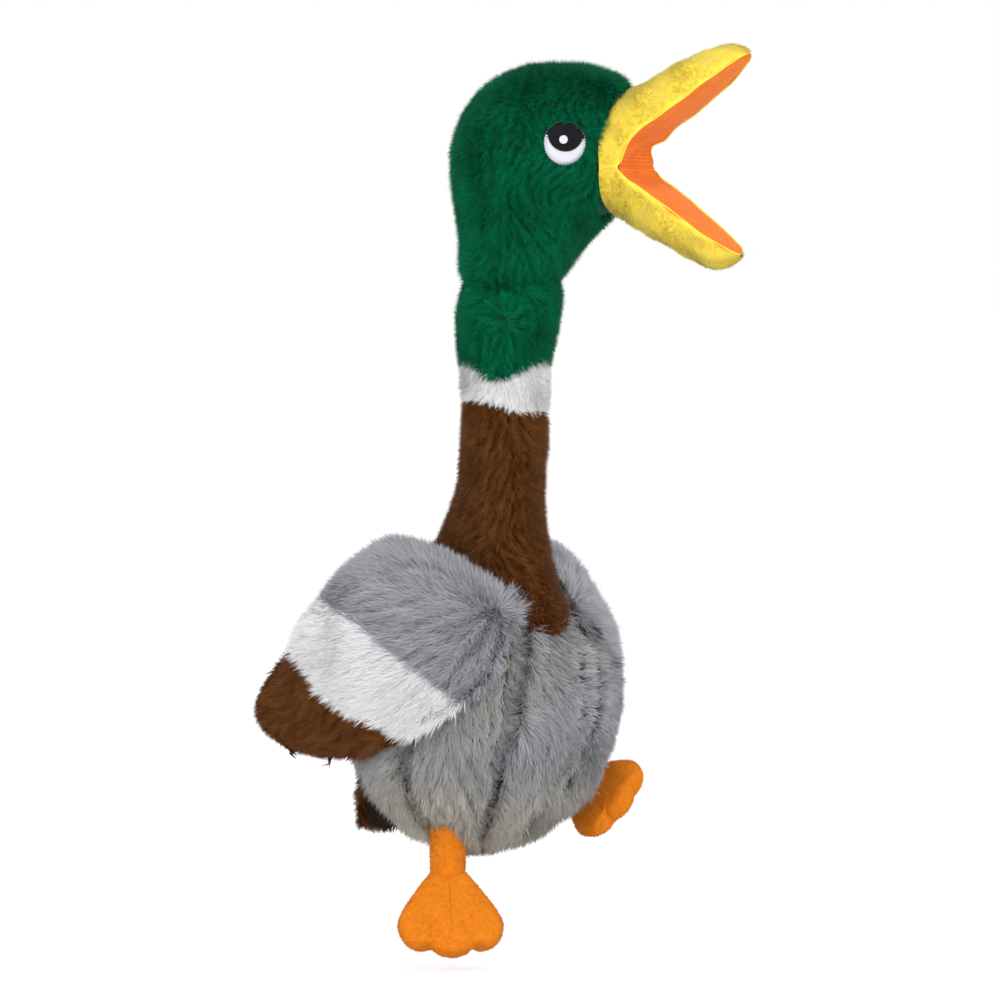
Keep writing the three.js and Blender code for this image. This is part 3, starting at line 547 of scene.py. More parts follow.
def ribbed_material(name, dark, light, ribs):
    """Brushed rib cloth: a number of fine ribs up the map's height, with painted shade in their
    grooves, over patches of darker and lighter colour.
    """
    material, tree, shader = new_material(name, 0.85, 0.03, specular=0.15)
    wave = wave_bands(tree, own_map(tree), "Y", ribs, 0.5)
    patches = math_node(tree, "MULTIPLY", object_noise(tree, 7, 5.0), 0.8)
    shade = math_node(tree, "ADD", math_node(tree, "MULTIPLY", wave, 0.3), patches)
    tree.links.new(ramp(tree, shade, [(0.25, dark), (0.7, light)]), shader.inputs["Base Color"])
    raise_relief(tree, shader, wave, 0.5, 0.3)
    return material


def plastic_material(name, colour):
    """Moulded plastic: a soft gloss over a fine uneven grain."""
    material, tree, shader = new_material(name, 0.45, 0.0, specular=0.4)
    darker = tuple(0.85 * part for part in colour)
    uneven = ramp(tree, object_noise(tree, 3), [(0.3, darker), (0.7, colour)])
    tree.links.new(uneven, shader.inputs["Base Color"])
    return material


STITCH = 0.5  # from one stitch to the next


def thread_material(name, dark, light, turned=0.0):
    """Satin stitches: fine parallel ridges with a soft gloss, with painted shade between the
    stitches and painted sheen on them.
    """
    material, tree, shader = new_material(name, 0.6, 0.03, specular=0.15)
    where = tree.nodes.new("ShaderNodeTexCoord")
    mapping = tree.nodes.new("ShaderNodeMapping")
    mapping.inputs["Rotation"].default_value = (0, turned, 0)
    tree.links.new(where.outputs["Object"], mapping.inputs["Vector"])
    wave = wave_bands(tree, mapping.outputs[0], "X", 1 / (STITCH * MM), 1.2, 3.0)
    tree.links.new(ramp(tree, wave, [(0.1, dark), (0.8, light)]), shader.inputs["Base Color"])
    raise_relief(tree, shader, wave, 0.7, 0.25)
    return material


# Settings


def colour_setting(name, description, code):
    """A colour that a user may change."""
    return FloatVectorProperty(
        name=name, description=description, default=linear(code),
        subtype="COLOR", size=3, min=0, max=1,
    )


def length_setting(name, description, millimetres):
    """A length that a user may change."""
    return FloatProperty(
        name=name, description=description, default=millimetres * MM,
        unit="LENGTH", precision=4, min=0,
    )


class DuckColours(bpy.types.PropertyGroup):
    """The colours of the plushes, the cloths and the threads."""

    # Each pile's root colour is painted shade down in the pile and its tip colour painted light;
    # the dark colours also paint shade in the hollows of the cloths' relief
    green_dark: colour_setting("Green root", "Green pile at its roots", "002A19")
    green: colour_setting("Green", "Green pile of the head and upper neck", "006040")
    green_light: colour_setting("Green tip", "Green pile at its tips", "008053")
    brown_dark: colour_setting("Brown root", "Brown pile at its roots", "241103")
    brown: colour_setting("Brown", "Brown pile of the neck and the wing tips", "59330F")
    brown_light: colour_setting("Brown tip", "Brown pile at its tips", "86542C")
    white_dark: colour_setting("White root", "White pile at its roots", "E6E8EC")
    white: colour_setting("White", "White pile of the collar and the wing bands", "FAFAFC")
    white_light: colour_setting("White tip", "White pile at its tips", "FFFFFF")
    grey_dark: colour_setting("Grey root", "Grey pile at its roots", "5E5E64")
    grey: colour_setting("Grey", "Grey pile of the body and the shoulders", "9F9FA6")
    grey_light: colour_setting("Grey tip", "Grey pile at its tips", "BEBEC6")
    warm_dark: colour_setting("Warm grey root", "Root of the warmer grey low on the body", "68645B")
    warm: colour_setting("Warm grey", "Warmer grey low on the body", "B2AEA3")
    warm_light: colour_setting("Warm grey tip", "Tip of the warmer grey", "D8D4C9")
    yellow_dark: colour_setting("Yellow root", "Yellow nap at its roots", "E8C63C")
    yellow: colour_setting("Yellow", "Yellow nap of the beak", "F6DC50")
    yellow_light: colour_setting("Yellow tip", "Yellow nap at its tips", "FFEE8A")
    orange_dark: colour_setting("Orange root", "Orange nap at its roots", "D0700E")
    orange: colour_setting("Orange", "Orange nap of the legs and feet", "E68414")
    orange_light: colour_setting("Orange tip", "Orange nap at its tips", "F59A2E")
    lining_dark: colour_setting("Lining shade", "Mouth lining in its hollows", "DC6A1E")
    lining: colour_setting("Lining", "Mouth lining", "EC8230")
    black: colour_setting("Black thread", "Thread of the eyelid", "020306")
    black_light: colour_setting("Black sheen", "Black thread where it shines", "080B10")
    thread: colour_setting("White thread", "Thread of the eye's white", "ECECF4")
    thread_dark: colour_setting("White thread shade", "White thread between stitches", "B8BAC6")
    honker: colour_setting("Honker", "Plastic of the honker in the body", "D9D9D9")
    tail: colour_setting("Tail lining", "Smooth inner side of the tail", "38251B")
    tail_dark: colour_setting("Tail lining shade", "Tail lining in its hollows", "1C120E")


class DuckSizes(bpy.types.PropertyGroup):
    """The lengths of the piles."""

    body_pile: length_setting("Body pile", "Pile of the body and the shoulders", 9.5)
    wing_pile: length_setting("Wing pile", "Pile of the white band", 10)
    short_pile: length_setting("Short pile", "Pile of the brown neck and the wing tips", 6.5)
    head_pile: length_setting("Head pile", "Pile of the head and the upper neck", 6.5)
    nap: length_setting("Nap", "Nap of the beak and the feet", 1.7)


class DuckSettings(bpy.types.PropertyGroup):
    """All that a user may change."""

    colours: PointerProperty(type=DuckColours)
    sizes: PointerProperty(type=DuckSizes)


def colours(*names):
    """Colours from the settings, in linear values."""
    settings = bpy.context.scene.plush_duck.colours
    found = [tuple(getattr(settings, name)) for name in names]
    return found if len(found) > 1 else found[0]


def pile_length(name):
    """A pile's length from the settings, in millimetres."""
    return getattr(bpy.context.scene.plush_duck.sizes, name) / MM


MATERIALS = {}
SHEEN = {"green": 0.02, "brown": 0.06, "grey": 0.2, "white": 0.2, "yellow": 0.08, "orange": 0.04}
RIBS = 62  # over the length of the mouth's lining


def finish(kind):
    """The material of a plush, a cloth or a thread, made once."""
    if kind in MATERIALS:
        return MATERIALS[kind]
    tone = kind.rsplit("_", 1)[0]
    if kind.endswith("_pile"):
        shades = colours(f"{tone}_dark", tone, f"{tone}_light")
        other = colours("warm_dark", "warm", "warm_light") if tone == "grey" else None
        made = pile_material(kind, shades, other, SHEEN[tone])
    elif kind.endswith("_base"):
        made = cloth_material(kind, *colours(f"{tone}_dark", tone), 2.5, 0.6, SHEEN[tone])
    elif kind == "lining":
        made = ribbed_material(kind, *colours("lining_dark", "lining"), RIBS)
    elif kind == "tail_cloth":
        made = cloth_material(kind, *colours("tail_dark", "tail"), 3.0, 0.3, 0.02)
    elif kind == "black_thread":
        made = thread_material(kind, *colours("black", "black_light"))
    elif kind == "white_thread":
        made = thread_material(kind, *colours("thread_dark", "thread"), turned=0.5)
    MATERIALS[kind] = made
    return made


# How far each cloth lies under the outline that its surface gives, where its pile stands
CLOTH_DEPTH = {"neck": 3.2, "collar": 3.4, "upper_neck": 3.4, "head": 3.3, "wing": 3.6, "tail": 2.2}


def go_with(pieces, bodies):
    """Rides pieces on one body; given a pair of bodies, only fixes each piece's place into its
    mesh.
    """
    for piece in pieces:
        if isinstance(bodies, str):
            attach(piece, bodies)
        else:
            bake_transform(piece)


# Body


GORE_COUNT = 8
GORE_FLATTENING = 2.2  # in the middle of a gore
SEAM_DEPTH = 4.5
SEAM_WIDTH = 0.045  # of a gore
HOLLOW_DEPTH = 1.8  # of the broad hollow round each seam
HOLLOW_WIDTH = 0.2  # of a gore
SEAM_SLANT = 0.11  # of a turn, from the top to the foot
# Folds: the direction in shares of a turn, how far that slants over the height, depth, width
FOLDS = [(0.035, -0.08, 3.2, 0.008), (0.1, -0.15, 1.4, 0.012), (-0.19, 0.03, 1.2, 0.016)]
BODY_SWELL = Waves(31, 60)
BODY_DENTS = Waves(33, 26)
SUNK = unit(np.array([-0.62, 0.35, -0.7]))  # the side to which the filling has sunk
SUNK_SWELLING = 3.5
FOOT_SWELLING = 1.2
BODY_CLOTH_DEPTH = 0.5  # of its pile's length


def across_gore(u, v):
    """Which gore a place is in, and where across it: -1/2 and 1/2 at its seams."""
    place = (u + SEAM_SLANT * (v - 0.5)) * GORE_COUNT
    gore = np.floor(place + 0.5)
    return gore, place - gore


def seam_distance(u, v):
    """How far a place is from the nearest seam, as a share of a gore: 0 at the seam."""
    return 0.5 - np.abs(across_gore(u, v)[1])


def body_surface(u, v):
    """The ball: an ellipsoid of sewn gores, with grooves, folds, slow swellings and dents.

    u is the direction round the body from the front, v runs from its top to its foot. The
    radius loses the flattening times a cosine that is one in the middle of a gore and nought
    at its seams, a narrow and a broad bell curve of the distance from each seam, and a bell
    curve over each fold, all fading towards the top and the foot. It gains slow noise, a
    swelling on the side where the filling has sunk, and a little low down.
    """
    turn, polar = 2 * np.pi * u, np.pi * (0.012 + 0.976 * v)
    belly = np.sin(polar)
    away = seam_distance(u, v)
    flat = GORE_FLATTENING * np.cos(np.pi * (0.5 - away)) * belly
    groove = SEAM_DEPTH * np.exp(-((away / SEAM_WIDTH) ** 2))
    groove = groove + HOLLOW_DEPTH * np.exp(-((away / HOLLOW_WIDTH) ** 2))
    groove = groove * belly**0.7
    direction = np.stack([np.sin(turn) * belly, -np.cos(turn) * belly, np.cos(polar)], -1)
    uneven = BODY_SWELL.value(direction * BODY_RADIUS) * 1.1
    uneven = uneven + BODY_DENTS.value(direction * BODY_RADIUS) * 0.7
    for place, slant, depth, width in FOLDS:
        off = (u - place - slant * (v - 0.5) + 0.5) % 1 - 0.5
        groove = groove + depth * np.exp(-((off / width) ** 2)) * belly**2
    uneven = uneven + SUNK_SWELLING * smooth(0.72, 1.0, direction @ SUNK)
    uneven = uneven + FOOT_SWELLING * smooth(0.5, 0.95, v)
    radii = np.array([BODY_RADIUS, BODY_RADIUS, BODY_HALF_HEIGHT])
    return BODY_CENTRE + direction * (radii - (flat + groove - uneven)[..., None])


def body_height(x, y):
    """The level of the body's upper side over a point."""
    reach = ((x - BODY_CENTRE[0]) ** 2 + (y - BODY_CENTRE[1]) ** 2) / BODY_RADIUS**2
    return BODY_CENTRE[2] + BODY_HALF_HEIGHT * np.sqrt(1 - np.clip(reach, 0, 0.98))


def body_tint(p, u, v):
    """Warmer low on the body, in slow patches."""
    low = smooth(-20, -65, p[:, 2] - BODY_CENTRE[2])
    slow = Waves(41, 70).value(p) * 0.18
    return np.clip(0.3 + 0.7 * low + slow, 0, 1)


def body_turn(p, u, v):
    """Each gore's nap leans its own way, and parts at the seams."""
    gore, across = across_gore(u, v)
    near = np.exp(-((seam_distance(u, v) / 0.15) ** 2))
    return 0.28 * np.cos(gore * 2.4 + 0.6) - 0.3 * np.sign(across) * near


def body_length(length):
    """Shorter pile in the seams."""
    return lambda p, u, v: length * (0.55 + 0.45 * smooth(0.0, 0.06, seam_distance(u, v)))


def body_shadow(p, u, v):
    """Painted shade: darker strands down in the seams, and the body's grey a little darker all over
    than the same grey on the wings.
    """
    return 0.06 + 0.4 * np.exp(-((seam_distance(u, v) / 0.03) ** 2))


def off_neck(p, u, v):
    """True where the neck's foot doesn't cover the body."""
    x, y = p[:, 0], p[:, 1]
    return ~((np.hypot(x, y) < neck_reach(x, y) - 5) & (p[:, 2] > BODY_CENTRE[2] + 30))


class DUCK_OT_body(bpy.types.Operator):
    """Make the round grey body: its cloth and its long pile"""

    bl_idname = "plush_duck.body"
    bl_label = "Body"

    def execute(self, context):
        length = pile_length("body_pile")
        under = Cloth(body_surface, -1, length * BODY_CLOTH_DEPTH, 400, 240)
        base = skin("body_skin", under, finish("grey_base"))
        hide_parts(*PANELS, "body_filling")
        plastic = plastic_material("honker_plastic", colours("honker"))
        for name in ("honker_bellows", "honker_cap"):
            bpy.data.objects[name].material_slots[0].material = plastic
        pieces = [base]
        for number in range(4):
            low = number / 4 - 0.125
            pieces.append(
                pile(
                    f"body_pile_{number + 1}", under, finish("grey_pile"), 2.75,
                    body_length(length), 101 + number, u_range=(low, low + 0.25),
                    keep=off_neck, tint=body_tint, turn=body_turn, dim=body_shadow,
                    lean=0.64, width=0.8, lock=7,
                )
            )
        go_with(pieces, "torso")
        return {"FINISHED"}


# Neck


# How far the neck's foot spreads over the body from the neck's axis
NECK_FOOT_FRONT = 42
NECK_FOOT_BACK = 58
NECK_FOOT_SIDE = 25
NECK_STRAIGHT = 0.5  # share of v above the flare
NECK_TOP = COLLAR_BOTTOM + 7
NECK_FLARE_TOP = -15.0
NECK_CROOK = -44.0  # the level in front of the point that draws the flare in
# Behind, how much higher the flare begins, and how much further back and higher it is drawn in
NECK_BACK_FLARE = 18
NECK_BACK_CROOK = (11, 12)
NECK_SWAY = 1.8
NECK_FOLDS = Waves(51, 30)


def neck_reach(x, y):
    """How far the neck's foot spreads in a direction: most in front and behind."""
    away = np.hypot(x, y) + 1e-6
    front, back = np.maximum(-y / away, 0), np.maximum(y / away, 0)
    reach = NECK_FOOT_SIDE + (NECK_FOOT_FRONT - NECK_FOOT_SIDE) * front**4
    return reach + (NECK_FOOT_BACK - NECK_FOOT_SIDE) * back**1.5


def neck_surface(u, v):
    """The brown neck: a tube above, and below it curves that spread to a foot on the body.

    u is the direction from the front, v runs down. Below the tube each point follows a
    curve of second degree from the tube, by a point under it, to the foot's outline, whose
    reach is longest in front and behind. The tube sways a little to one side.
    """
    turn = 2 * np.pi * u
    x, y = np.sin(turn), -np.cos(turn)
    folds = 1 + 0.012 * NECK_FOLDS.value(np.stack([x * 22, y * 22, v * 80], -1))
    straight = np.clip(v / NECK_STRAIGHT, 0, 1)
    back = np.maximum(y, 0)
    level = NECK_TOP + (NECK_FLARE_TOP + NECK_BACK_FLARE * back - NECK_TOP) * straight
    t = np.clip((v - NECK_STRAIGHT) / (1 - NECK_STRAIGHT), 0, 1)
    reach = neck_reach(x, y)
    foot_x, foot_y = x * reach, y * reach
    foot_z = body_height(foot_x, foot_y) - 2
    middle = NECK_RADIUS + 1 + NECK_BACK_CROOK[0] * back
    middle_z = np.minimum(NECK_CROOK + NECK_BACK_CROOK[1] * back, NECK_FLARE_TOP - 10)
    ease = [(1 - t) ** 2, 2 * t * (1 - t), t**2]
    px = ease[0] * x * NECK_RADIUS * folds + ease[1] * x * middle + ease[2] * foot_x
    py = ease[0] * y * NECK_RADIUS * folds + ease[1] * y * middle + ease[2] * foot_y
    pz = ease[0] * level + ease[1] * middle_z + ease[2] * foot_z
    sway = NECK_SWAY * smooth(14, -2, pz) * (1 - t)
    return np.stack([px - VIEW_RIGHT[0] * sway, py - VIEW_RIGHT[1] * sway, pz], -1)


COLLAR_DIP = 7.5
COLLAR_DIP_WIDTH = 0.09  # of a turn
COLLAR_DIP_TURN = 0.13  # of a turn, from the front towards the duck's right
COLLAR_SLANT = 4.0
COLLAR_SLANT_TURN = 0.153


def collar_edges(u):
    """The levels of the collar's two seams round it: a dip above and a slant below.

    The upper seam hangs down by a bell curve of the direction, and the lower one rises and
    falls with its cosine.
    """
    off = (u + COLLAR_DIP_TURN + 0.5) % 1 - 0.5
    upper = COLLAR_TOP - COLLAR_DIP * np.exp(-((off / COLLAR_DIP_WIDTH) ** 2))
    upper = upper + 1.0 * np.sin(6 * np.pi * u)
    lower = COLLAR_BOTTOM - COLLAR_SLANT * np.cos(2 * np.pi * (u - COLLAR_SLANT_TURN))
    return upper, lower + 0.7 * np.sin(8 * np.pi * u)


COLLAR_RADIUS = 23.2
COLLAR_PILE = 6.0


def collar_surface(u, v):
    """The white collar: a tube that swells between its seams and reaches a little over both.

    u is the direction from the front, v runs down. The radius falls off with the cube of
    the distance from the middle.
    """
    turn = 2 * np.pi * u
    radius = COLLAR_RADIUS - 1.6 * np.abs(2 * v - 1) ** 3
    upper, lower = collar_edges(u)
    level = upper + 2.5 + (lower - upper - 3.5) * v
    return np.stack([np.sin(turn) * radius, -np.cos(turn) * radius, level], -1)


UPPER_NECK_TOP = 102.0
# From the collar up: the radius, and how far the tube has come over towards the head
UPPER_NECK = through(
    [[23.4, 0], [24.6, 0.1], [25.8, 0.3], [26.4, 0.5], [26.0, 0.8], [24.2, 0.95], [20, 1]]
)
NECK_WHORL = np.array([-14.0, -21.0, 75.0])


def upper_neck_surface(u, v):
    """The green neck: a tube that widens and leans forwards as it rises; v runs down."""
    turn = 2 * np.pi * u
    radius, share = np.moveaxis(UPPER_NECK(1 - v), -1, 0)
    level = UPPER_NECK_TOP + (collar_edges(u)[0] - 0.5 - UPPER_NECK_TOP) * v
    x = np.sin(turn) * radius + NOD_PIVOT[0] * share
    y = -np.cos(turn) * radius + NOD_PIVOT[1] * share
    return np.stack([x, y, level], -1)


class DUCK_OT_neck(bpy.types.Operator):
    """Make the brown neck, the white collar and the green upper neck"""

    bl_idname = "plush_duck.neck"
    bl_label = "Neck"

    def execute(self, context):
        short, head = pile_length("short_pile"), pile_length("head_pile")
        under = Cloth(neck_surface, -1, CLOTH_DEPTH["neck"])
        base = skin("neck_skin", under, finish("brown_base"), step=3)
        below = lambda p, u, v: p[:, 2] < collar_edges(u)[1] + 0.5
        fur = pile(
            "neck_pile", under, finish("brown_pile"), 3.7, short, 210, keep=below,
            lean=0.56, width=0.62, lock=4.6, swirl=0.3, swirl_size=34, relief=0.4, contrast=0.19,
        )
        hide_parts("neck_base", "lower_neck")
        go_with([base, fur], ("neck", "torso"))

        under = Cloth(collar_surface, -1, CLOTH_DEPTH["collar"], 200, 60)
        base = skin("collar_skin", under, finish("white_base"), step=3)
        fur = pile(
            "collar_pile", under, finish("white_pile"), 4.0, COLLAR_PILE, 220,
            lean=0.56, width=0.75, lock=8, swirl=0.6, swirl_size=25, relief=0.28, contrast=0.1,
        )
        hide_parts("collar")
        go_with([base, fur], ("neck", "collar"))

        under = Cloth(upper_neck_surface, -1, CLOTH_DEPTH["upper_neck"], 240, 110)
        base = skin("upper_neck_skin", under, finish("green_base"), step=3)
        fur = pile(
            "upper_neck_pile", under, finish("green_pile"), 4.4, head, 230,
            lean=0.5, width=0.6, lock=5, swirl=0.45, swirl_size=30, relief=0.45, contrast=0.19,
            whorl=(NECK_WHORL, 15.0),
        )
        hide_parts("upper_neck", "upper_neck_filling")
        go_with([base, fur], ("collar", "upper_neck"))
        return {"FINISHED"}


# Head


HEAD_SIDE = np.stack([HEAD_FORWARD, HEAD_LEFT, UP])
FACE = 66.0  # how far forwards the face is, where the beak joins
# Level, back, widest place, front and half width, from the crown down
HEAD_ROWS = [
    [203.6, 23, 28, 33, 1.5],
    [202.6, 15, 26, 44, 9],
    [200.2, 7.5, 24, 53, 16],
    [196.2, -1, 21, 62.5, 22.5],
    [191, -8.5, 18.5, 67, 27],
    [184, -14.8, 16.5, 70, 31],
    [175, -20.8, 15, 72.5, 33.6],
    [160, -26, 15, 73.5, 34.8],
    [144, -25.8, 15, 72, 34.8],
    [131, -23.8, 13, 61.5, 33.8],
    [123.5, -22.4, 11.8, 53, 33],
    [114, -21.4, 9.5, 42.5, 31],
    [106, -21.8, 8, 36, 29],
    [98, -21.5, 5, 30, 26.5],
    [93, -18.5, 4.5, 25, 22.5],
]
HEAD_CURVE = through(HEAD_ROWS)
HEAD_UNEVEN = Waves(61, 40)


def in_head(f, l, z):
    """A point of the head's own frame, forwards, left and up, in the row frame."""
    return np.stack([f, l, z], -1) @ HEAD_SIDE


def head_surface(u, v):
    """The head: level sections of two half ovals, cut off at the face where the beak joins.

    u goes round from the front, v down from the crown. Along each section the forward and
    sideways places are powers just under one of the cosine and sine.
    """
    turn = 2 * np.pi * u
    level, back, widest, front, half = np.moveaxis(HEAD_CURVE(v), -1, 0)
    reach = np.where(np.cos(turn) > 0, front - widest, widest - back)
    f = widest + reach * power(np.cos(turn), 0.92)
    f = np.minimum(f, FACE + (f - FACE) * 0.12)
    l = half * power(np.sin(turn), 0.92)
    swell = 1 + 0.012 * HEAD_UNEVEN.value(np.stack([f, l, level], -1))
    return in_head(f, l * swell, level)


def head_parts(p):
    """Points of the row frame as forwards, left and up of the head."""
    return (p @ HEAD_SIDE.T).T


# Forwards, out and up to the eye's middle, how far it faces forwards in degrees, and its size
EYE = {"forward": 45, "out": 28.6, "up": 163, "turn": 23.5, "half_width": 10.2, "half_height": 10.8}


def eye_place(side):
    """The eye's middle, and its across, up and out directions, in the head's own frame."""
    turn = math.radians(EYE["turn"])
    middle = np.array([EYE["forward"], side * EYE["out"], EYE["up"]])
    across = np.array([math.cos(turn), -side * math.sin(turn), 0])
    out = np.array([math.sin(turn), side * math.cos(turn), 0])
    return middle, across, out


def off_eyes(p):
    """True where no eye is sewn."""
    free = np.ones(len(p), bool)
    own = p @ HEAD_SIDE.T
    for side in (-1, 1):
        middle, across, out = eye_place(side)
        away = own - middle
        x, z = away @ across / EYE["half_width"], away[:, 2] / EYE["half_height"]
        free &= ~((np.hypot(x, z) < 0.98 + 0.12 * (z > 0)) & (away @ out > -12))
    return free


def off_beak(p):
    """True where the beak doesn't cover the face."""
    f, l, z = head_parts(p)
    height = np.where(z > BEAK_UP, FACE_ABOVE, FACE_BELOW)
    inside = (l / BEAK_HALF_WIDTH) ** 2 + ((z - BEAK_UP) / height) ** 2 < 0.9
    return ~((f > 50) & inside)


class DUCK_OT_head(bpy.types.Operator):
    """Make the green head: its cloth and its short dense pile"""

    bl_idname = "plush_duck.head"
    bl_label = "Head"

    def execute(self, context):
        length = pile_length("head_pile")
        under = Cloth(head_surface, -1, CLOTH_DEPTH["head"], 360, 260)
        base = skin("head_skin", under, finish("green_base"), step=3)
        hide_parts("head_right", "head_left", "head_filling")
        keep = lambda p, u, v: off_eyes(p) & off_beak(p)
        pieces = [base]
        for part, low, high in (("left", 0.0, 0.5), ("right", 0.5, 1.0)):
            pieces.append(
                pile(
                    f"head_pile_{part}", under, finish("green_pile"), 4.2, length,
                    300 + len(pieces), u_range=(low, high), keep=keep, lean=0.48, width=0.6,
                    lock=5, swirl=0.45, swirl_size=38, relief=0.45, contrast=0.19,
                )
            )
        go_with(pieces, ("upper_neck", "head"))
        return {"FINISHED"}


# Eyes


EYE_FALL = 95  # the square of the distance from the eye's middle over this falls away


def eye_disc(side, inner, outer, lift):
    """A domed patch in the eye's plane, between two outlines given as functions of direction.

    u is the direction round the eye, v runs from the inner to the outer outline. The patch
    falls away from the middle with the square of the distance, as the head does.
    """
    middle, across, out = eye_place(side)

    def at(u, v):
        turn = 2 * np.pi * u
        direction = np.stack([np.cos(turn), np.sin(turn)], -1)
        place = inner(turn, direction) * (1 - v[..., None]) + outer(turn, direction) * v[..., None]
        x, z = place[..., 0], place[..., 1]
        edge = smooth(1.0, 0.86, v)
        depth = lift * (0.35 + 0.65 * edge) - (x**2 + z**2) / EYE_FALL
        own = middle + x[..., None] * across + z[..., None] * UP + depth[..., None] * out
        return own @ HEAD_SIDE

    return at


# The centres are across and up from the eye's middle
LID_CENTRE = np.array([0.4, 4.6])
LID_RADIUS = 9.6
HIGHLIGHT_CENTRE = np.array([-0.6, 1.7])
HIGHLIGHT_RADIUS = 2.3
EYE_LIFT = {"white": 1.6, "lid": 2.3, "highlight": 3.0}  # over the head, in the middle
SERRATION = 0.35


def eye_outline(turn, direction):
    """The whole eye's oval with a stitched, slightly jagged edge."""
    jag = 1 + SERRATION / 10 * np.sin(turn * 44)
    size = np.array([EYE["half_width"], EYE["half_height"]])
    return direction * size * jag[..., None]


def lid_outline(turn, direction):
    """The lid's outline: the eye's oval above, and below a hanging arc with a jagged edge."""
    ratio = LID_RADIUS + SERRATION * np.sin(turn * 40)
    arc = direction * ratio[..., None] + LID_CENTRE
    inside = np.hypot(arc[..., 0] / EYE["half_width"], arc[..., 1] / EYE["half_height"])
    return np.where((inside > 1)[..., None], arc / inside[..., None], arc)


def round_outline(radius, centre):
    """A circle as a function of direction."""
    return lambda turn, direction: direction * radius + centre


def embroidery(name, side, centre, outer, lift, thread, around=176, rings=14):
    """A domed patch of thread, from a point out to its outline."""
    patch = Cloth(eye_disc(side, round_outline(0.05, centre), outer, lift), side, 0, around, rings)
    return skin(name, patch, finish(thread), step=1, ends=(True, False))


class DUCK_OT_eyes(bpy.types.Operator):
    """Make the embroidered eyes: a white disc, a black lid over it and a white highlight"""

    bl_idname = "plush_duck.eyes"
    bl_label = "Eyes"

    def execute(self, context):
        spot = round_outline(HIGHLIGHT_RADIUS, HIGHLIGHT_CENTRE)
        for name, side in (("right", -1), ("left", 1)):
            white = embroidery(
                f"eye_{name}_white_thread", side, 0.0, eye_outline, EYE_LIFT["white"],
                "white_thread",
            )
            black = embroidery(
                f"eye_{name}_lid", side, LID_CENTRE, lid_outline, EYE_LIFT["lid"],
                "black_thread",
            )
            dot = embroidery(
                f"eye_{name}_highlight", side, HIGHLIGHT_CENTRE, spot, EYE_LIFT["highlight"],
                "white_thread", around=40, rings=8,
            )
            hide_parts(f"eye_{name}_white")
            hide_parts(f"eye_{name}_black")
            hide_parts(f"eye_{name}_dot")
            go_with([white, black, dot], "head")
        return {"FINISHED"}


# Beak


BEAK_HALF_WIDTH = 22.6
FACE_ABOVE, FACE_BELOW = 36.0, 29.0  # how far the beak covers the face over and under the hinge
BEAK_BACK = 61.0  # where the beak's cloth goes into the head, forwards
MOUTH_CORNER = -3.8  # how far over the hinge the corner of the mouth is
# Each rim: forwards and up from the hinge, from inside the head round the corner to the tip
BEAK = {
    "upper": {
        "up": 1, "open": 38.5, "length": 84, "depth": 28, "taper": 0.5, "blunt": 6,
        "rim": through([
            [-5, MOUTH_CORNER], [3.4, MOUTH_CORNER], [5.8, -0.9], [9.4, 7.4], [16.6, 15.2],
            [27, 22.2], [39.4, 30.9], [53, 41.5], [65.7, 52.3],
        ]),
    },
    "lower": {
        "up": -1, "open": 37.5, "length": 77.5, "depth": 26, "taper": 0.42, "blunt": 12,
        "rim": through([
            [-5, MOUTH_CORNER], [3.4, MOUTH_CORNER], [6, -6.6], [10.4, -10.6], [17.5, -15],
            [27, -21.9], [38.3, -30.3], [50.3, -39.3], [61.4, -47.3],
        ]),
    },
}
RIM_OVERLAP = 1.2
CORNER_TUCK = 4.6
BEAK_NAP = 1.4  # times the nap of the feet
LINING_DRAWN_IN = 4  # in the middle of the fold
LINING_SWELL = 2.0
BEAK_WRINKLES = Waves(71, 16)
LINING_FOLDS = Waves(73, 13)


def beak_side(half, s, out):
    """Forward and up of a point s along a beak half and out from its mouth line."""
    angle = math.radians(half["open"])
    up = half["up"]
    f = BEAK_FORWARD + s * math.cos(angle) - out * math.sin(angle)
    z = BEAK_UP + up * (s * math.sin(angle) + out * math.cos(angle))
    return f, z


def beak_rim(half, v, across, overlap=RIM_OVERLAP):
    """The rim in side view: its curve at the root of v, so its rows are closest at the corner.

    Behind the corner the two halves' rims pass each other a little, so that no gap shows. On
    the left the cloth is tucked back over the corner, more and more up to a short step.
    """
    f, z = np.moveaxis(half["rim"](np.sqrt(np.clip(v, 0, 1))), -1, 0)
    tuck = CORNER_TUCK * smooth(0.3, 0.95, across) * smooth(-5, 6.5, z) * smooth(10, 7, z)
    past = half["up"] * overlap * smooth(0.05, 0.02, v)
    return BEAK_FORWARD + f - tuck, BEAK_UP + z - past


def beak_top(half, v):
    """The outer edge in side view: a dome whose depth shrinks along the beak and closes it."""
    length = half["length"]
    share = np.clip(0.13 + 0.87 * v, 0, 1)
    depth = half["depth"] * (1 - half["taper"] * share)
    depth = depth * np.sqrt(np.maximum(1 - share ** half["blunt"], 0))
    f, z = beak_side(half, share * length, depth)
    back = 1 - smooth(0, 0.12, v)
    return f * (1 - back) + np.minimum(f, BEAK_BACK) * back, z


def beak_width(v):
    """Half the width, which falls to nothing at the tip."""
    return BEAK_HALF_WIDTH * np.sqrt(np.maximum(1 - np.clip(v, 0, 1) ** 2.4, 0))


LIP = 0.7
LIP_SHARE = 0.04  # of u, at each end


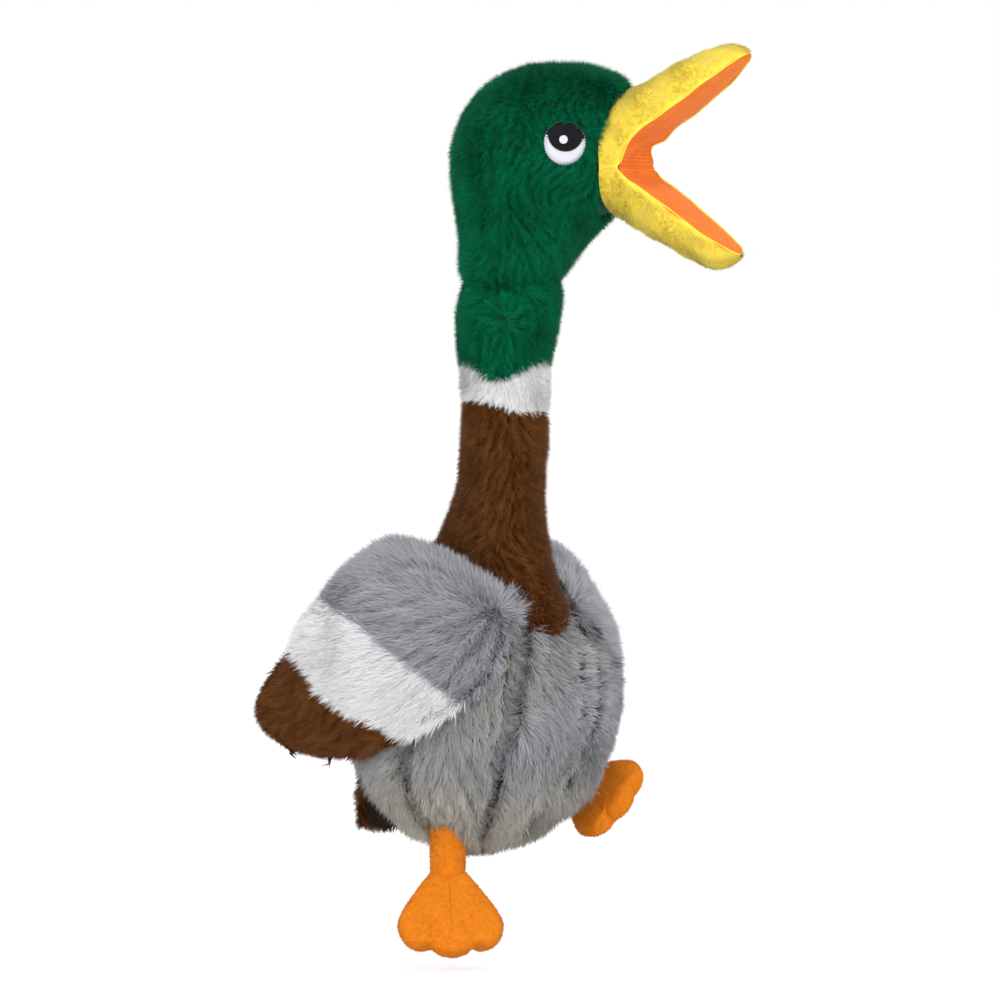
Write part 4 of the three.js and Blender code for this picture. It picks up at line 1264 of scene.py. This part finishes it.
def beak_surface(half):
    """A beak half's outside: arches over its rim, with a short lip turned in under them.

    u goes over from one rim to the other and v runs from the head to the tip. A point lies
    between the rim and the outer edge by the sine's 0.9th power, and to the side by the
    cosine. The lip is a shallow arc in the mouth's plane.
    """
    angle = math.radians(half["open"])

    def at(u, v):
        turn = np.pi * np.clip((u - LIP_SHARE) / (1 - 2 * LIP_SHARE), 0, 1)
        lip = np.maximum(LIP_SHARE - u, u - 1 + LIP_SHARE).clip(0, LIP_SHARE) / LIP_SHARE
        rim_f, rim_z = beak_rim(half, v, np.cos(turn))
        top_f, top_z = beak_top(half, v)
        high = np.sin(turn) ** 0.9
        half_width = beak_width(v)
        lip = lip * smooth(0.03, 0.1, v)
        lip_width = np.minimum(LIP * lip, half_width)
        width = half_width * np.cos(turn) - np.sign(np.cos(turn)) * lip_width
        dip = LIP * np.sin(np.pi * lip)
        bulge = np.stack([rim_f + 9 * high, width, rim_z + 20 * high], -1)
        bulge = 0.5 * BEAK_WRINKLES.value(bulge)
        bulge = bulge * smooth(0, 0.08, v) * smooth(1.0, 0.9, v)
        f = rim_f + (top_f - rim_f) * high + dip * math.sin(angle)
        rise = half["up"] * (bulge * np.sin(turn) - dip * math.cos(angle))
        z = rim_z + (top_z - rim_z) * high + rise
        return in_head(f, width + bulge * np.cos(turn), z)

    return at


def lining_surface(half):
    """The mouth's lining on one beak half: from the fold at the hinge out along the mouth line.

    u goes across, v from the fold to the tip. The sheet swells into the mouth between its
    seams by one less the square of the distance across, and is drawn back and puckered by
    slow noise at the fold.
    """
    angle = math.radians(half["open"])

    def at(u, v):
        across = 2 * u - 1
        share = v * 0.98
        crown = 1 - across**2
        f, z = beak_rim(half, 0.03 + 0.97 * share, across, 0.0)
        fold = BEAK_UP + MOUTH_CORNER
        z = fold + (z - fold) * smooth(0.0, 0.04, v)
        f = f - LINING_DRAWN_IN * crown * smooth(0.3, 0.0, v)
        width = np.maximum(beak_width(share) - 0.3, 0.8)
        swell = LINING_SWELL * crown * smooth(0.05, 0.3, v) * smooth(1.0, 0.8, v) - 0.1
        swell = swell + 0.5 * smooth(0.06, 0.0, v)
        pinch = LINING_FOLDS.value(np.stack([f * 0.3, across * 22, z], -1))
        f = f + 0.9 * pinch * crown * smooth(0.3, 0.1, v)
        z = z - half["up"] * swell * math.cos(angle)
        return in_head(f + swell * math.sin(angle), across * width, z)

    return at


class DUCK_OT_beak(bpy.types.Operator):
    """Make the yellow beak halves with their nap, and the orange lining of the mouth"""

    bl_idname = "plush_duck.beak"
    bl_label = "Beak"

    def execute(self, context):
        nap = pile_length("nap")
        for name, half in BEAK.items():
            side = half["up"]
            outside = Cloth(beak_surface(half), side, 0, 170, 180, closed=False)
            base = skin(f"beak_{name}_skin", outside, finish("yellow_base"), ends=(False, False))
            fur = pile(
                f"beak_{name}_nap", outside, finish("yellow_pile"), 4.3, nap * BEAK_NAP,
                401 + side, lean=0.45, width=0.5, lock=5, pull=0.3, swirl=0.7, swirl_size=20,
                stray=0.25, relief=0.1, contrast=0.06,
                keep=lambda p, u, v: np.abs(u - 0.5) < 0.445,
            )
            mouth = Cloth(lining_surface(half), side, 0, 60, 120, closed=False)
            cloth = skin(
                f"beak_{name}_lining_cloth", mouth, finish("lining"), ends=(False, False)
            )
            lay_flat(cloth, mouth)
            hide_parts(f"beak_{name}")
            if side > 0:
                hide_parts("mouth_corner_right", "mouth_corner_left")
                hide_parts("mouth_fold")
            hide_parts(f"beak_{name}_lining")
            go_with([base, fur, cloth], ("head", f"{name}_beak"))
        return {"FINISHED"}


# Wings


# Outwards, along Y and up of each edge from the shoulder to the tip, from the body's centre,
# and along the wing how thick it is and how far it arches
WING_BACK = [[30, 12, 70], [44, 30, 77], [63, 48, 55], [75, 58, 26], [92, 71, -1], [84, 54, -25]]
WINGS = {
    "right": {
        "out": -1,
        "front": [
            [8, -51, 55], [31, -62, 30], [50, -60, 3], [70, -27, -19], [72, 0, -27], [74, 20, -29],
        ],
        "build": [[14, 0], [23, 15], [21, 17], [19, 10], [16, 3], [9, 0]],
    },
    "left": {
        "out": 1,
        "front": [
            [18, -42, 57], [31, -50, 33], [49, -43, 7], [66, -16, -16], [70, 6, -25], [74, 22, -28],
        ],
        "build": [[12, 0], [18, 8], [18, 12], [17, 9], [15, 3], [9, 0]],
    },
}
WING_UNEVEN = Waves(81, 32)
BAND_FOLD = 3.0  # how deep the fold over the white band is
# Stretches of the way round a wing from its front edge, and of the way along it
UPPER_SIDE = (-0.035, 0.535)
UNDERSIDE = (0.535, 0.965)
SHOULDER, BAND, TIP, WHOLE = (0.0, 0.4), (0.4, 0.56), (0.56, 1.0), (0.0, 1.0)
# Each cloth: its plush, its stretches round and along the wing, its pile's length in the
# settings, its density, its lean and its locks
WING_CLOTHS = {
    "grey": ("grey", UPPER_SIDE, SHOULDER, "body_pile", 3.2, 0.62, 9),
    "white": ("white", UPPER_SIDE, BAND, "wing_pile", 3.4, 0.58, 11),
    "tip": ("brown", UPPER_SIDE, TIP, "short_pile", 4.2, 0.6, 8),
    "underside": ("brown", UNDERSIDE, WHOLE, "short_pile", 1.5, 0.6, 8),
}
KNOB = (0.1, 0.1)  # where on a wing its pile starts from
WHORL_REACH = 95.0


def wing_surface(wing):
    """A padded sheet between two edges, arched over the ball and rounded at both ends.

    u goes round the section, from the front edge over the upper side and back under, and v
    runs from the shoulder to the tip. Across, a point stands out by the arch times the
    square of the sine and half the thickness times the sine, less a fold over the band.
    """
    out = wing["out"]
    mirror = np.array([out, 1, 1])
    front = through(np.array(wing["front"]) * mirror + BODY_CENTRE)
    back = through(np.array(WING_BACK) * mirror + BODY_CENTRE)
    build = through(wing["build"])

    def at(u, v):
        turn = 2 * np.pi * u
        a, b = front(v), back(v)
        thickness, arch = np.moveaxis(build(v), -1, 0)
        tip, root = np.clip((v - 0.88) / 0.12, 0, 1), np.clip((0.1 - v) / 0.1, 0, 1)
        narrow = np.sqrt(np.maximum(1 - tip**2, 0)) * np.sqrt(np.maximum(1 - root**2, 0))
        share = (1 - np.cos(turn)) / 2
        share = 0.5 + (share - 0.5) * (1 - (1 - narrow) * (0.32 * (tip > 0) + 0.12 * (root > 0)))
        outwards = unit((a + b) / 2 - BODY_CENTRE)
        sine = np.sin(turn)
        lift = arch * sine**2 + thickness / 2 * sine * narrow
        lift = lift + WING_UNEVEN.value(a + (b - a) * share[..., None])
        fold = np.exp(-(((share - 0.66 + 0.5 * (v - 0.5)) / 0.06) ** 2))
        lift = lift - BAND_FOLD * fold * smooth(0.36, 0.44, v) * smooth(0.62, 0.54, v) * (sine > 0)
        return a + (b - a) * share[..., None] + outwards * lift[..., None]

    return at


def away_from_edges(p, u, v):
    """True in the middle of a cloth."""
    return (np.abs(u - 0.5) < 0.27) & (np.abs(v - 0.5) < 0.4)


class DUCK_OT_wings(bpy.types.Operator):
    """Make the wings: grey shoulders, white bands, brown tips and undersides"""

    bl_idname = "plush_duck.wings"
    bl_label = "Wings"

    def execute(self, context):
        for name, wing in WINGS.items():
            whole = wing_surface(wing)
            knob = whole(np.array([KNOB[0]]), np.array([KNOB[1]]))[0]
            for number, (part, look) in enumerate(WING_CLOTHS.items()):
                tone, u_range, v_range, length, density, lean, lock = look

                def patch(u, v):
                    """The stretch of the wing that this cloth covers."""
                    return whole(
                        u_range[0] + u * (u_range[1] - u_range[0]),
                        v_range[0] + v * (v_range[1] - v_range[0]),
                    )

                under = Cloth(patch, -wing["out"], CLOTH_DEPTH["wing"], 140, 110, closed=False)
                base = skin(
                    f"wing_{name}_{part}_skin", under, finish(f"{tone}_base"), ends=(False, False)
                )
                kept = {"keep": away_from_edges} if part == "underside" else {}
                fur = pile(
                    f"wing_{name}_{part}_pile", under, finish(f"{tone}_pile"), density,
                    pile_length(length), 500 + 10 * number + wing["out"], lean=lean, width=0.75,
                    lock=lock, swirl=0.45, swirl_size=40, whorl=(knob, WHORL_REACH), **kept,
                )
                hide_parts(f"wing_{name}_{part}")
                go_with([base, fur], ("torso", f"wing_{name}"))
        return {"FINISHED"}


# Legs and feet


# Each leg: the foot's upward direction and the one its toes point in, the foot's size
# against the outline below, and how deep its creases are
LEGS = {
    "right": {
        "upper": (-0.38, -0.66, 0.64), "toes": (-0.321, -0.557, -0.766),
        "foot": 1.0, "crease": 1.9,
    },
    "left": {
        "upper": (-0.8, -0.114, 0.588), "toes": (-0.023, -0.973, -0.22),
        "foot": 0.87, "crease": 0.6,
    },
}
# Down from the hip, and the radius
LEG_ROWS = through([[-10, 8.6], [-3, 8.8], [6, 8.9], [14, 8.5], [20, 7.6], [24, 7.4]])
# The foot's half outline from the heel to the middle toe: along and across
FOOT_ROWS = [
    [-8.5, 0], [-8, 5.5], [-4.5, 9.3], [3, 14.8], [10.5, 20], [18, 24.3], [25, 26.4], [31.5, 25.4],
    [36.5, 22.6], [38.8, 18.8], [39, 14.5], [38.6, 11], [41, 8], [42.8, 4], [43.4, 0],
]
FOOT_HALF_HEIGHT = 7.2
NAP_DENSITY = 3.8
FOOT_NAP = {
    "lean": 0.5, "width": 0.45, "lock": 5, "swirl": 0.8, "swirl_size": 14, "stray": 0.3,
    "relief": 0.25, "contrast": 0.08,
}


def leg_surface(name):
    """A leg: a round tube down from the hip; v runs down it."""
    hip, _ = joint(f"hip_{name}_splay")
    ankle, _ = joint(f"ankle_{name}_swing")
    down = unit(ankle - hip)
    first = unit(np.cross(down, [0.3, 1, 0.2]))
    second = np.cross(down, first)

    def at(u, v):
        turn = 2 * np.pi * u
        along, radius = np.moveaxis(LEG_ROWS(v), -1, 0)
        radius = radius * (1 + 0.02 * np.sin(3 * turn + 2) * np.sin(7 * v))
        return (
            hip + down * along[..., None]
            + first * (radius * np.cos(turn))[..., None]
            + second * (radius * np.sin(turn))[..., None]
        )

    return at


def foot_surface(name):
    """A foot: a cushion in its outline, pinched at the edge and between the toes.

    u goes round the outline, v from the middle of the upper side over the edge to the
    middle of the sole. Its height is the square root of one less the fourth power of the
    share of the way out, less two creases that run between the toes.
    """
    leg = LEGS[name]
    ankle, _ = joint(f"ankle_{name}_swing")
    forward = unit(np.array(leg["toes"], float))
    across = unit(np.cross(np.array(leg["upper"], float), forward))
    upward = np.cross(forward, across)
    half = np.array(FOOT_ROWS, float)
    whole = np.vstack([half, half[-2:0:-1] * [1, -1], half[:1]])
    outline = through(whole)

    def at(u, v):
        edge = outline(u % 1)
        share = 1 - np.abs(2 * v - 1)
        spine = np.stack([np.clip(edge[..., 0], 2, 34), np.zeros_like(edge[..., 0])], -1)
        place = spine + (edge - spine) * share[..., None]
        x, y = place[..., 0], place[..., 1]
        thick = FOOT_HALF_HEIGHT * np.sqrt(np.maximum(1 - share**4, 0))
        thick = thick * (1 - 0.22 * smooth(10, 46, x)) * (1 + 0.25 * smooth(14, -4, x))
        crease = np.exp(-(((np.abs(y) - 0.29 * x + 0.5) / 2.2) ** 2)) * smooth(20, 34, x)
        height = (thick - leg["crease"] * crease * np.minimum(thick / 4, 1)) * np.sign(0.5 - v)
        size = leg["foot"]
        flat = forward * (x * size)[..., None] + across * (y * size)[..., None]
        return ankle + flat + upward * height[..., None]

    return at


class DUCK_OT_feet(bpy.types.Operator):
    """Make the orange legs and the padded three-toed feet"""

    bl_idname = "plush_duck.feet"
    bl_label = "Legs and feet"

    def execute(self, context):
        nap = pile_length("nap")
        for number, name in enumerate(LEGS):
            tube = Cloth(leg_surface(name), 1, 0, 96, 60)
            leg = skin(f"leg_{name}_skin", tube, finish("orange_base"))
            leg_nap = pile(
                f"leg_{name}_nap", tube, finish("orange_pile"), NAP_DENSITY, nap, 700 + number,
                **FOOT_NAP,
            )
            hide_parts(f"leg_{name}")
            go_with([leg, leg_nap], ("torso", f"leg_{name}"))
            cushion = Cloth(foot_surface(name), 1, 0, 256, 80)
            foot = skin(f"foot_{name}_skin", cushion, finish("orange_base"))
            foot_nap = pile(
                f"foot_{name}_nap", cushion, finish("orange_pile"), NAP_DENSITY, nap,
                710 + number, **FOOT_NAP,
            )
            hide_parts(f"foot_{name}_top", f"foot_{name}_sole")
            go_with([foot, foot_nap], f"foot_{name}")
        return {"FINISHED"}


# Tail


# Back and up from the body's centre, from the root to the tip
TAIL_LINE = through([[66, -22], [78, -24], [88, -34], [91.5, -49], [91, -64], [90.5, -70]])
TAIL_HALF_WIDTH = 17.0
TAIL_HALF_THICKNESS = 4.6
TAIL_PANEL_SEAM = 4.5  # from the flap's edge in to the inner panel


def off_tail_line(x, v, layer):
    """A point across the tail, at a share of its line and out from it by a layer."""
    line = TAIL_LINE(v)
    step = unit(TAIL_LINE(np.minimum(v + 0.01, 1)) - TAIL_LINE(np.maximum(v - 0.01, 0)))
    y = line[..., 0] - step[..., 1] * layer
    z = line[..., 1] + step[..., 0] * layer
    return np.stack([x, y + BODY_CENTRE[1], z + BODY_CENTRE[2]], -1)


def tail_surface(u, v):
    """The tail flap: an oval section along a curve that droops behind; v runs down it."""
    turn = 2 * np.pi * u
    end = np.sqrt(np.maximum(1 - np.clip((v - 0.8) / 0.2, 0, 1) ** 2, 0))
    half = (TAIL_HALF_WIDTH - 3 * (1 - v)) * (0.45 + 0.55 * end)
    layer = TAIL_HALF_THICKNESS * np.sin(turn) * (0.25 + 0.75 * end)
    return off_tail_line(half * power(np.cos(turn), 0.7), v, layer)


def tail_panel_surface(u, v):
    """The inner panel: a slightly crowned sheet just off the flap's inner side."""
    down = 0.3 + 0.66 * v
    x = (2 * u - 1) * (TAIL_HALF_WIDTH - TAIL_PANEL_SEAM) * np.sqrt(1 - 0.55 * smooth(0.7, 1, v))
    return off_tail_line(x, down, -4.2 - 0.8 * (1 - (2 * u - 1) ** 2))


def off_tail_panel(p, u, v):
    """True on the outer side of the tail and round its edge, where pile grows."""
    inner = np.sin(2 * np.pi * u) < -0.5
    return ~(inner & (v > 0.3) & (np.abs(p[:, 0]) < TAIL_HALF_WIDTH - 5))


class DUCK_OT_tail(bpy.types.Operator):
    """Make the brown tail flap and its smooth dark inner side"""

    bl_idname = "plush_duck.tail"
    bl_label = "Tail"

    def execute(self, context):
        short = pile_length("short_pile")
        under = Cloth(tail_surface, -1, CLOTH_DEPTH["tail"], 140, 110)
        base = skin("tail_skin", under, finish("brown_base"))
        fur = pile(
            "tail_pile", under, finish("brown_pile"), 3.8, short, 800,
            keep=off_tail_panel, lean=0.6, width=0.7, lock=8, relief=0.4,
        )
        inner = Cloth(tail_panel_surface, -1, 0, 40, 60, closed=False)
        cloth = skin("tail_panel", inner, finish("tail_cloth"), ends=(False, False))
        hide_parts("tail")
        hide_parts("tail_lining")
        go_with([base, fur, cloth], ("torso", "tail"))
        return {"FINISHED"}


# Stage


CAMERA = {"azimuth": -35.0, "elevation": 2.0, "distance": 4166.7, "lens": 300.0, "sensor": 36}
AIM = np.array([-2.5, -15.0])  # the picture's middle: across and up from the grip
# Each lamp, in metres and watts: its place, the point it looks at, its side and its power
LAMPS = {
    "key": ((-0.45, -1.6, 1.25), (0, 0, 0), 1.2, 19),
    "side": ((-1.8, -0.2, 0.6), (0, 0, 0), 1.2, 8),
    "low": ((-0.3, -2.0, -0.2), (0, 0, -0.1), 1.0, 11),
    "back": ((0.6, 1.6, 1.4), (0, 0, 0), 1.2, 9),
}
WORLD_STRENGTH = 0.85
FLOOR_DROP = 0.004  # metres under the part
FLOOR_REACH = 20.0  # metres
FLOOR_GLOW = 0.66


def lamp(name, place, aim, size, power_watts):
    """A square soft light that looks at a point."""
    data = bpy.data.lights.new(name, "AREA")
    data.size = size
    data.energy = power_watts
    light = bpy.data.objects.new(name, data)
    light.location = place
    light.rotation_euler = (Vector(aim) - Vector(place)).to_track_quat("-Z", "Y").to_euler()
    bpy.context.scene.collection.objects.link(light)


def seen(tree):
    """1 for rays from the camera and in reflections and glass, 0 for all other light."""
    rays = tree.nodes.new("ShaderNodeLightPath")
    camera, glossy = rays.outputs["Is Camera Ray"], rays.outputs["Is Glossy Ray"]
    either = math_node(tree, "MAXIMUM", camera, glossy)
    return math_node(tree, "MAXIMUM", either, rays.outputs["Is Transmission Ray"])


def shown_apart(tree, plain, shown, output):
    """Sends one shader to the rays that are seen, and another to all other light."""
    either = tree.nodes.new("ShaderNodeMixShader")
    for socket, source in zip(either.inputs, (seen(tree), plain.outputs[0], shown.outputs[0])):
        tree.links.new(source, socket)
    tree.links.new(either.outputs[0], tree.nodes[output].inputs["Surface"])


class DUCK_OT_stage(bpy.types.Operator):
    """Make the white floor, the soft lights and the camera"""

    bl_idname = "plush_duck.stage"
    bl_label = "Stage"

    def execute(self, context):
        scene = context.scene
        scene.view_settings.view_transform = "Standard"
        world = bpy.data.worlds.new("studio")
        scene.world = world
        world.use_nodes = True
        tree = world.node_tree
        plain = tree.nodes["Background"]
        plain.inputs["Color"].default_value = (1, 1, 1, 1)
        plain.inputs["Strength"].default_value = WORLD_STRENGTH
        white = tree.nodes.new("ShaderNodeBackground")
        white.inputs["Color"].default_value = (1, 1, 1, 1)
        shown_apart(tree, plain, white, "World Output")

        level = CAD_BOX[0].z - FLOOR_DROP
        mesh = bpy.data.meshes.new("floor")
        sides = ((-1, -1), (1, -1), (1, 1), (-1, 1))
        places = [(x * FLOOR_REACH, y * FLOOR_REACH, level) for x, y in sides]
        mesh.from_pydata(places, [], [(0, 1, 2, 3)])
        floor = bpy.data.objects.new("floor", mesh)
        scene.collection.objects.link(floor)
        material, tree, shader = new_material("floor_white", 0.9, 0.0)
        shader.inputs["Base Color"].default_value = (0.8, 0.8, 0.8, 1)
        paper = tree.nodes.new("ShaderNodeBsdfDiffuse")
        paper.inputs["Color"].default_value = (0.5, 0.5, 0.5, 1)
        glow = tree.nodes.new("ShaderNodeEmission")
        glow.inputs["Strength"].default_value = FLOOR_GLOW
        both = tree.nodes.new("ShaderNodeAddShader")
        tree.links.new(paper.outputs[0], both.inputs[0])
        tree.links.new(glow.outputs[0], both.inputs[1])
        shown_apart(tree, shader, both, "Material Output")
        mesh.materials.append(material)

        for name, setting in LAMPS.items():
            lamp(name, *setting)

        azimuth, elevation = math.radians(CAMERA["azimuth"]), math.radians(CAMERA["elevation"])
        back = np.array([
            math.sin(azimuth) * math.cos(elevation),
            -math.cos(azimuth) * math.cos(elevation),
            math.sin(elevation),
        ])
        right = np.array([math.cos(azimuth), math.sin(azimuth), 0])
        upward = np.cross(back, right)
        aim = right * AIM[0] + upward * AIM[1]
        data = bpy.data.cameras.new("camera")
        data.lens = CAMERA["lens"]
        data.sensor_width = CAMERA["sensor"]
        camera = bpy.data.objects.new("camera", data)
        camera.location = (aim + back * CAMERA["distance"]) * MM
        camera.rotation_euler = Vector(-back).to_track_quat("-Z", "Y").to_euler()
        scene.collection.objects.link(camera)
        scene.camera = camera
        return {"FINISHED"}


class DUCK_PT_pieces(bpy.types.Panel):
    """The duck's pieces and settings"""

    bl_label = "Plush duck"
    bl_idname = "DUCK_PT_pieces"
    bl_space_type = "VIEW_3D"
    bl_region_type = "UI"
    bl_category = "Plush Duck"

    def draw(self, context):
        settings = context.scene.plush_duck
        for group in (settings.sizes, settings.colours):
            for name in group.__annotations__:
                self.layout.prop(group, name)
        for operator in OPERATORS:
            self.layout.operator(operator.bl_idname)


OPERATORS = [
    DUCK_OT_stage,
    DUCK_OT_body,
    DUCK_OT_neck,
    DUCK_OT_head,
    DUCK_OT_eyes,
    DUCK_OT_beak,
    DUCK_OT_wings,
    DUCK_OT_feet,
    DUCK_OT_tail,
]
CLASSES = [DuckColours, DuckSizes, DuckSettings, *OPERATORS, DUCK_PT_pieces]


def register():
    """Registers the settings, the operators and the panel."""
    for each in CLASSES:
        bpy.utils.register_class(each)
    bpy.types.Scene.plush_duck = PointerProperty(type=DuckSettings)


def unregister():
    """Takes them away again."""
    del bpy.types.Scene.plush_duck
    for each in reversed(CLASSES):
        bpy.utils.unregister_class(each)


def main():
    """Makes every piece in order."""
    register()
    for operator in OPERATORS:
        group, name = operator.bl_idname.split(".")
        getattr(getattr(bpy.ops, group), name)()


if __name__ == "__main__":
    main()
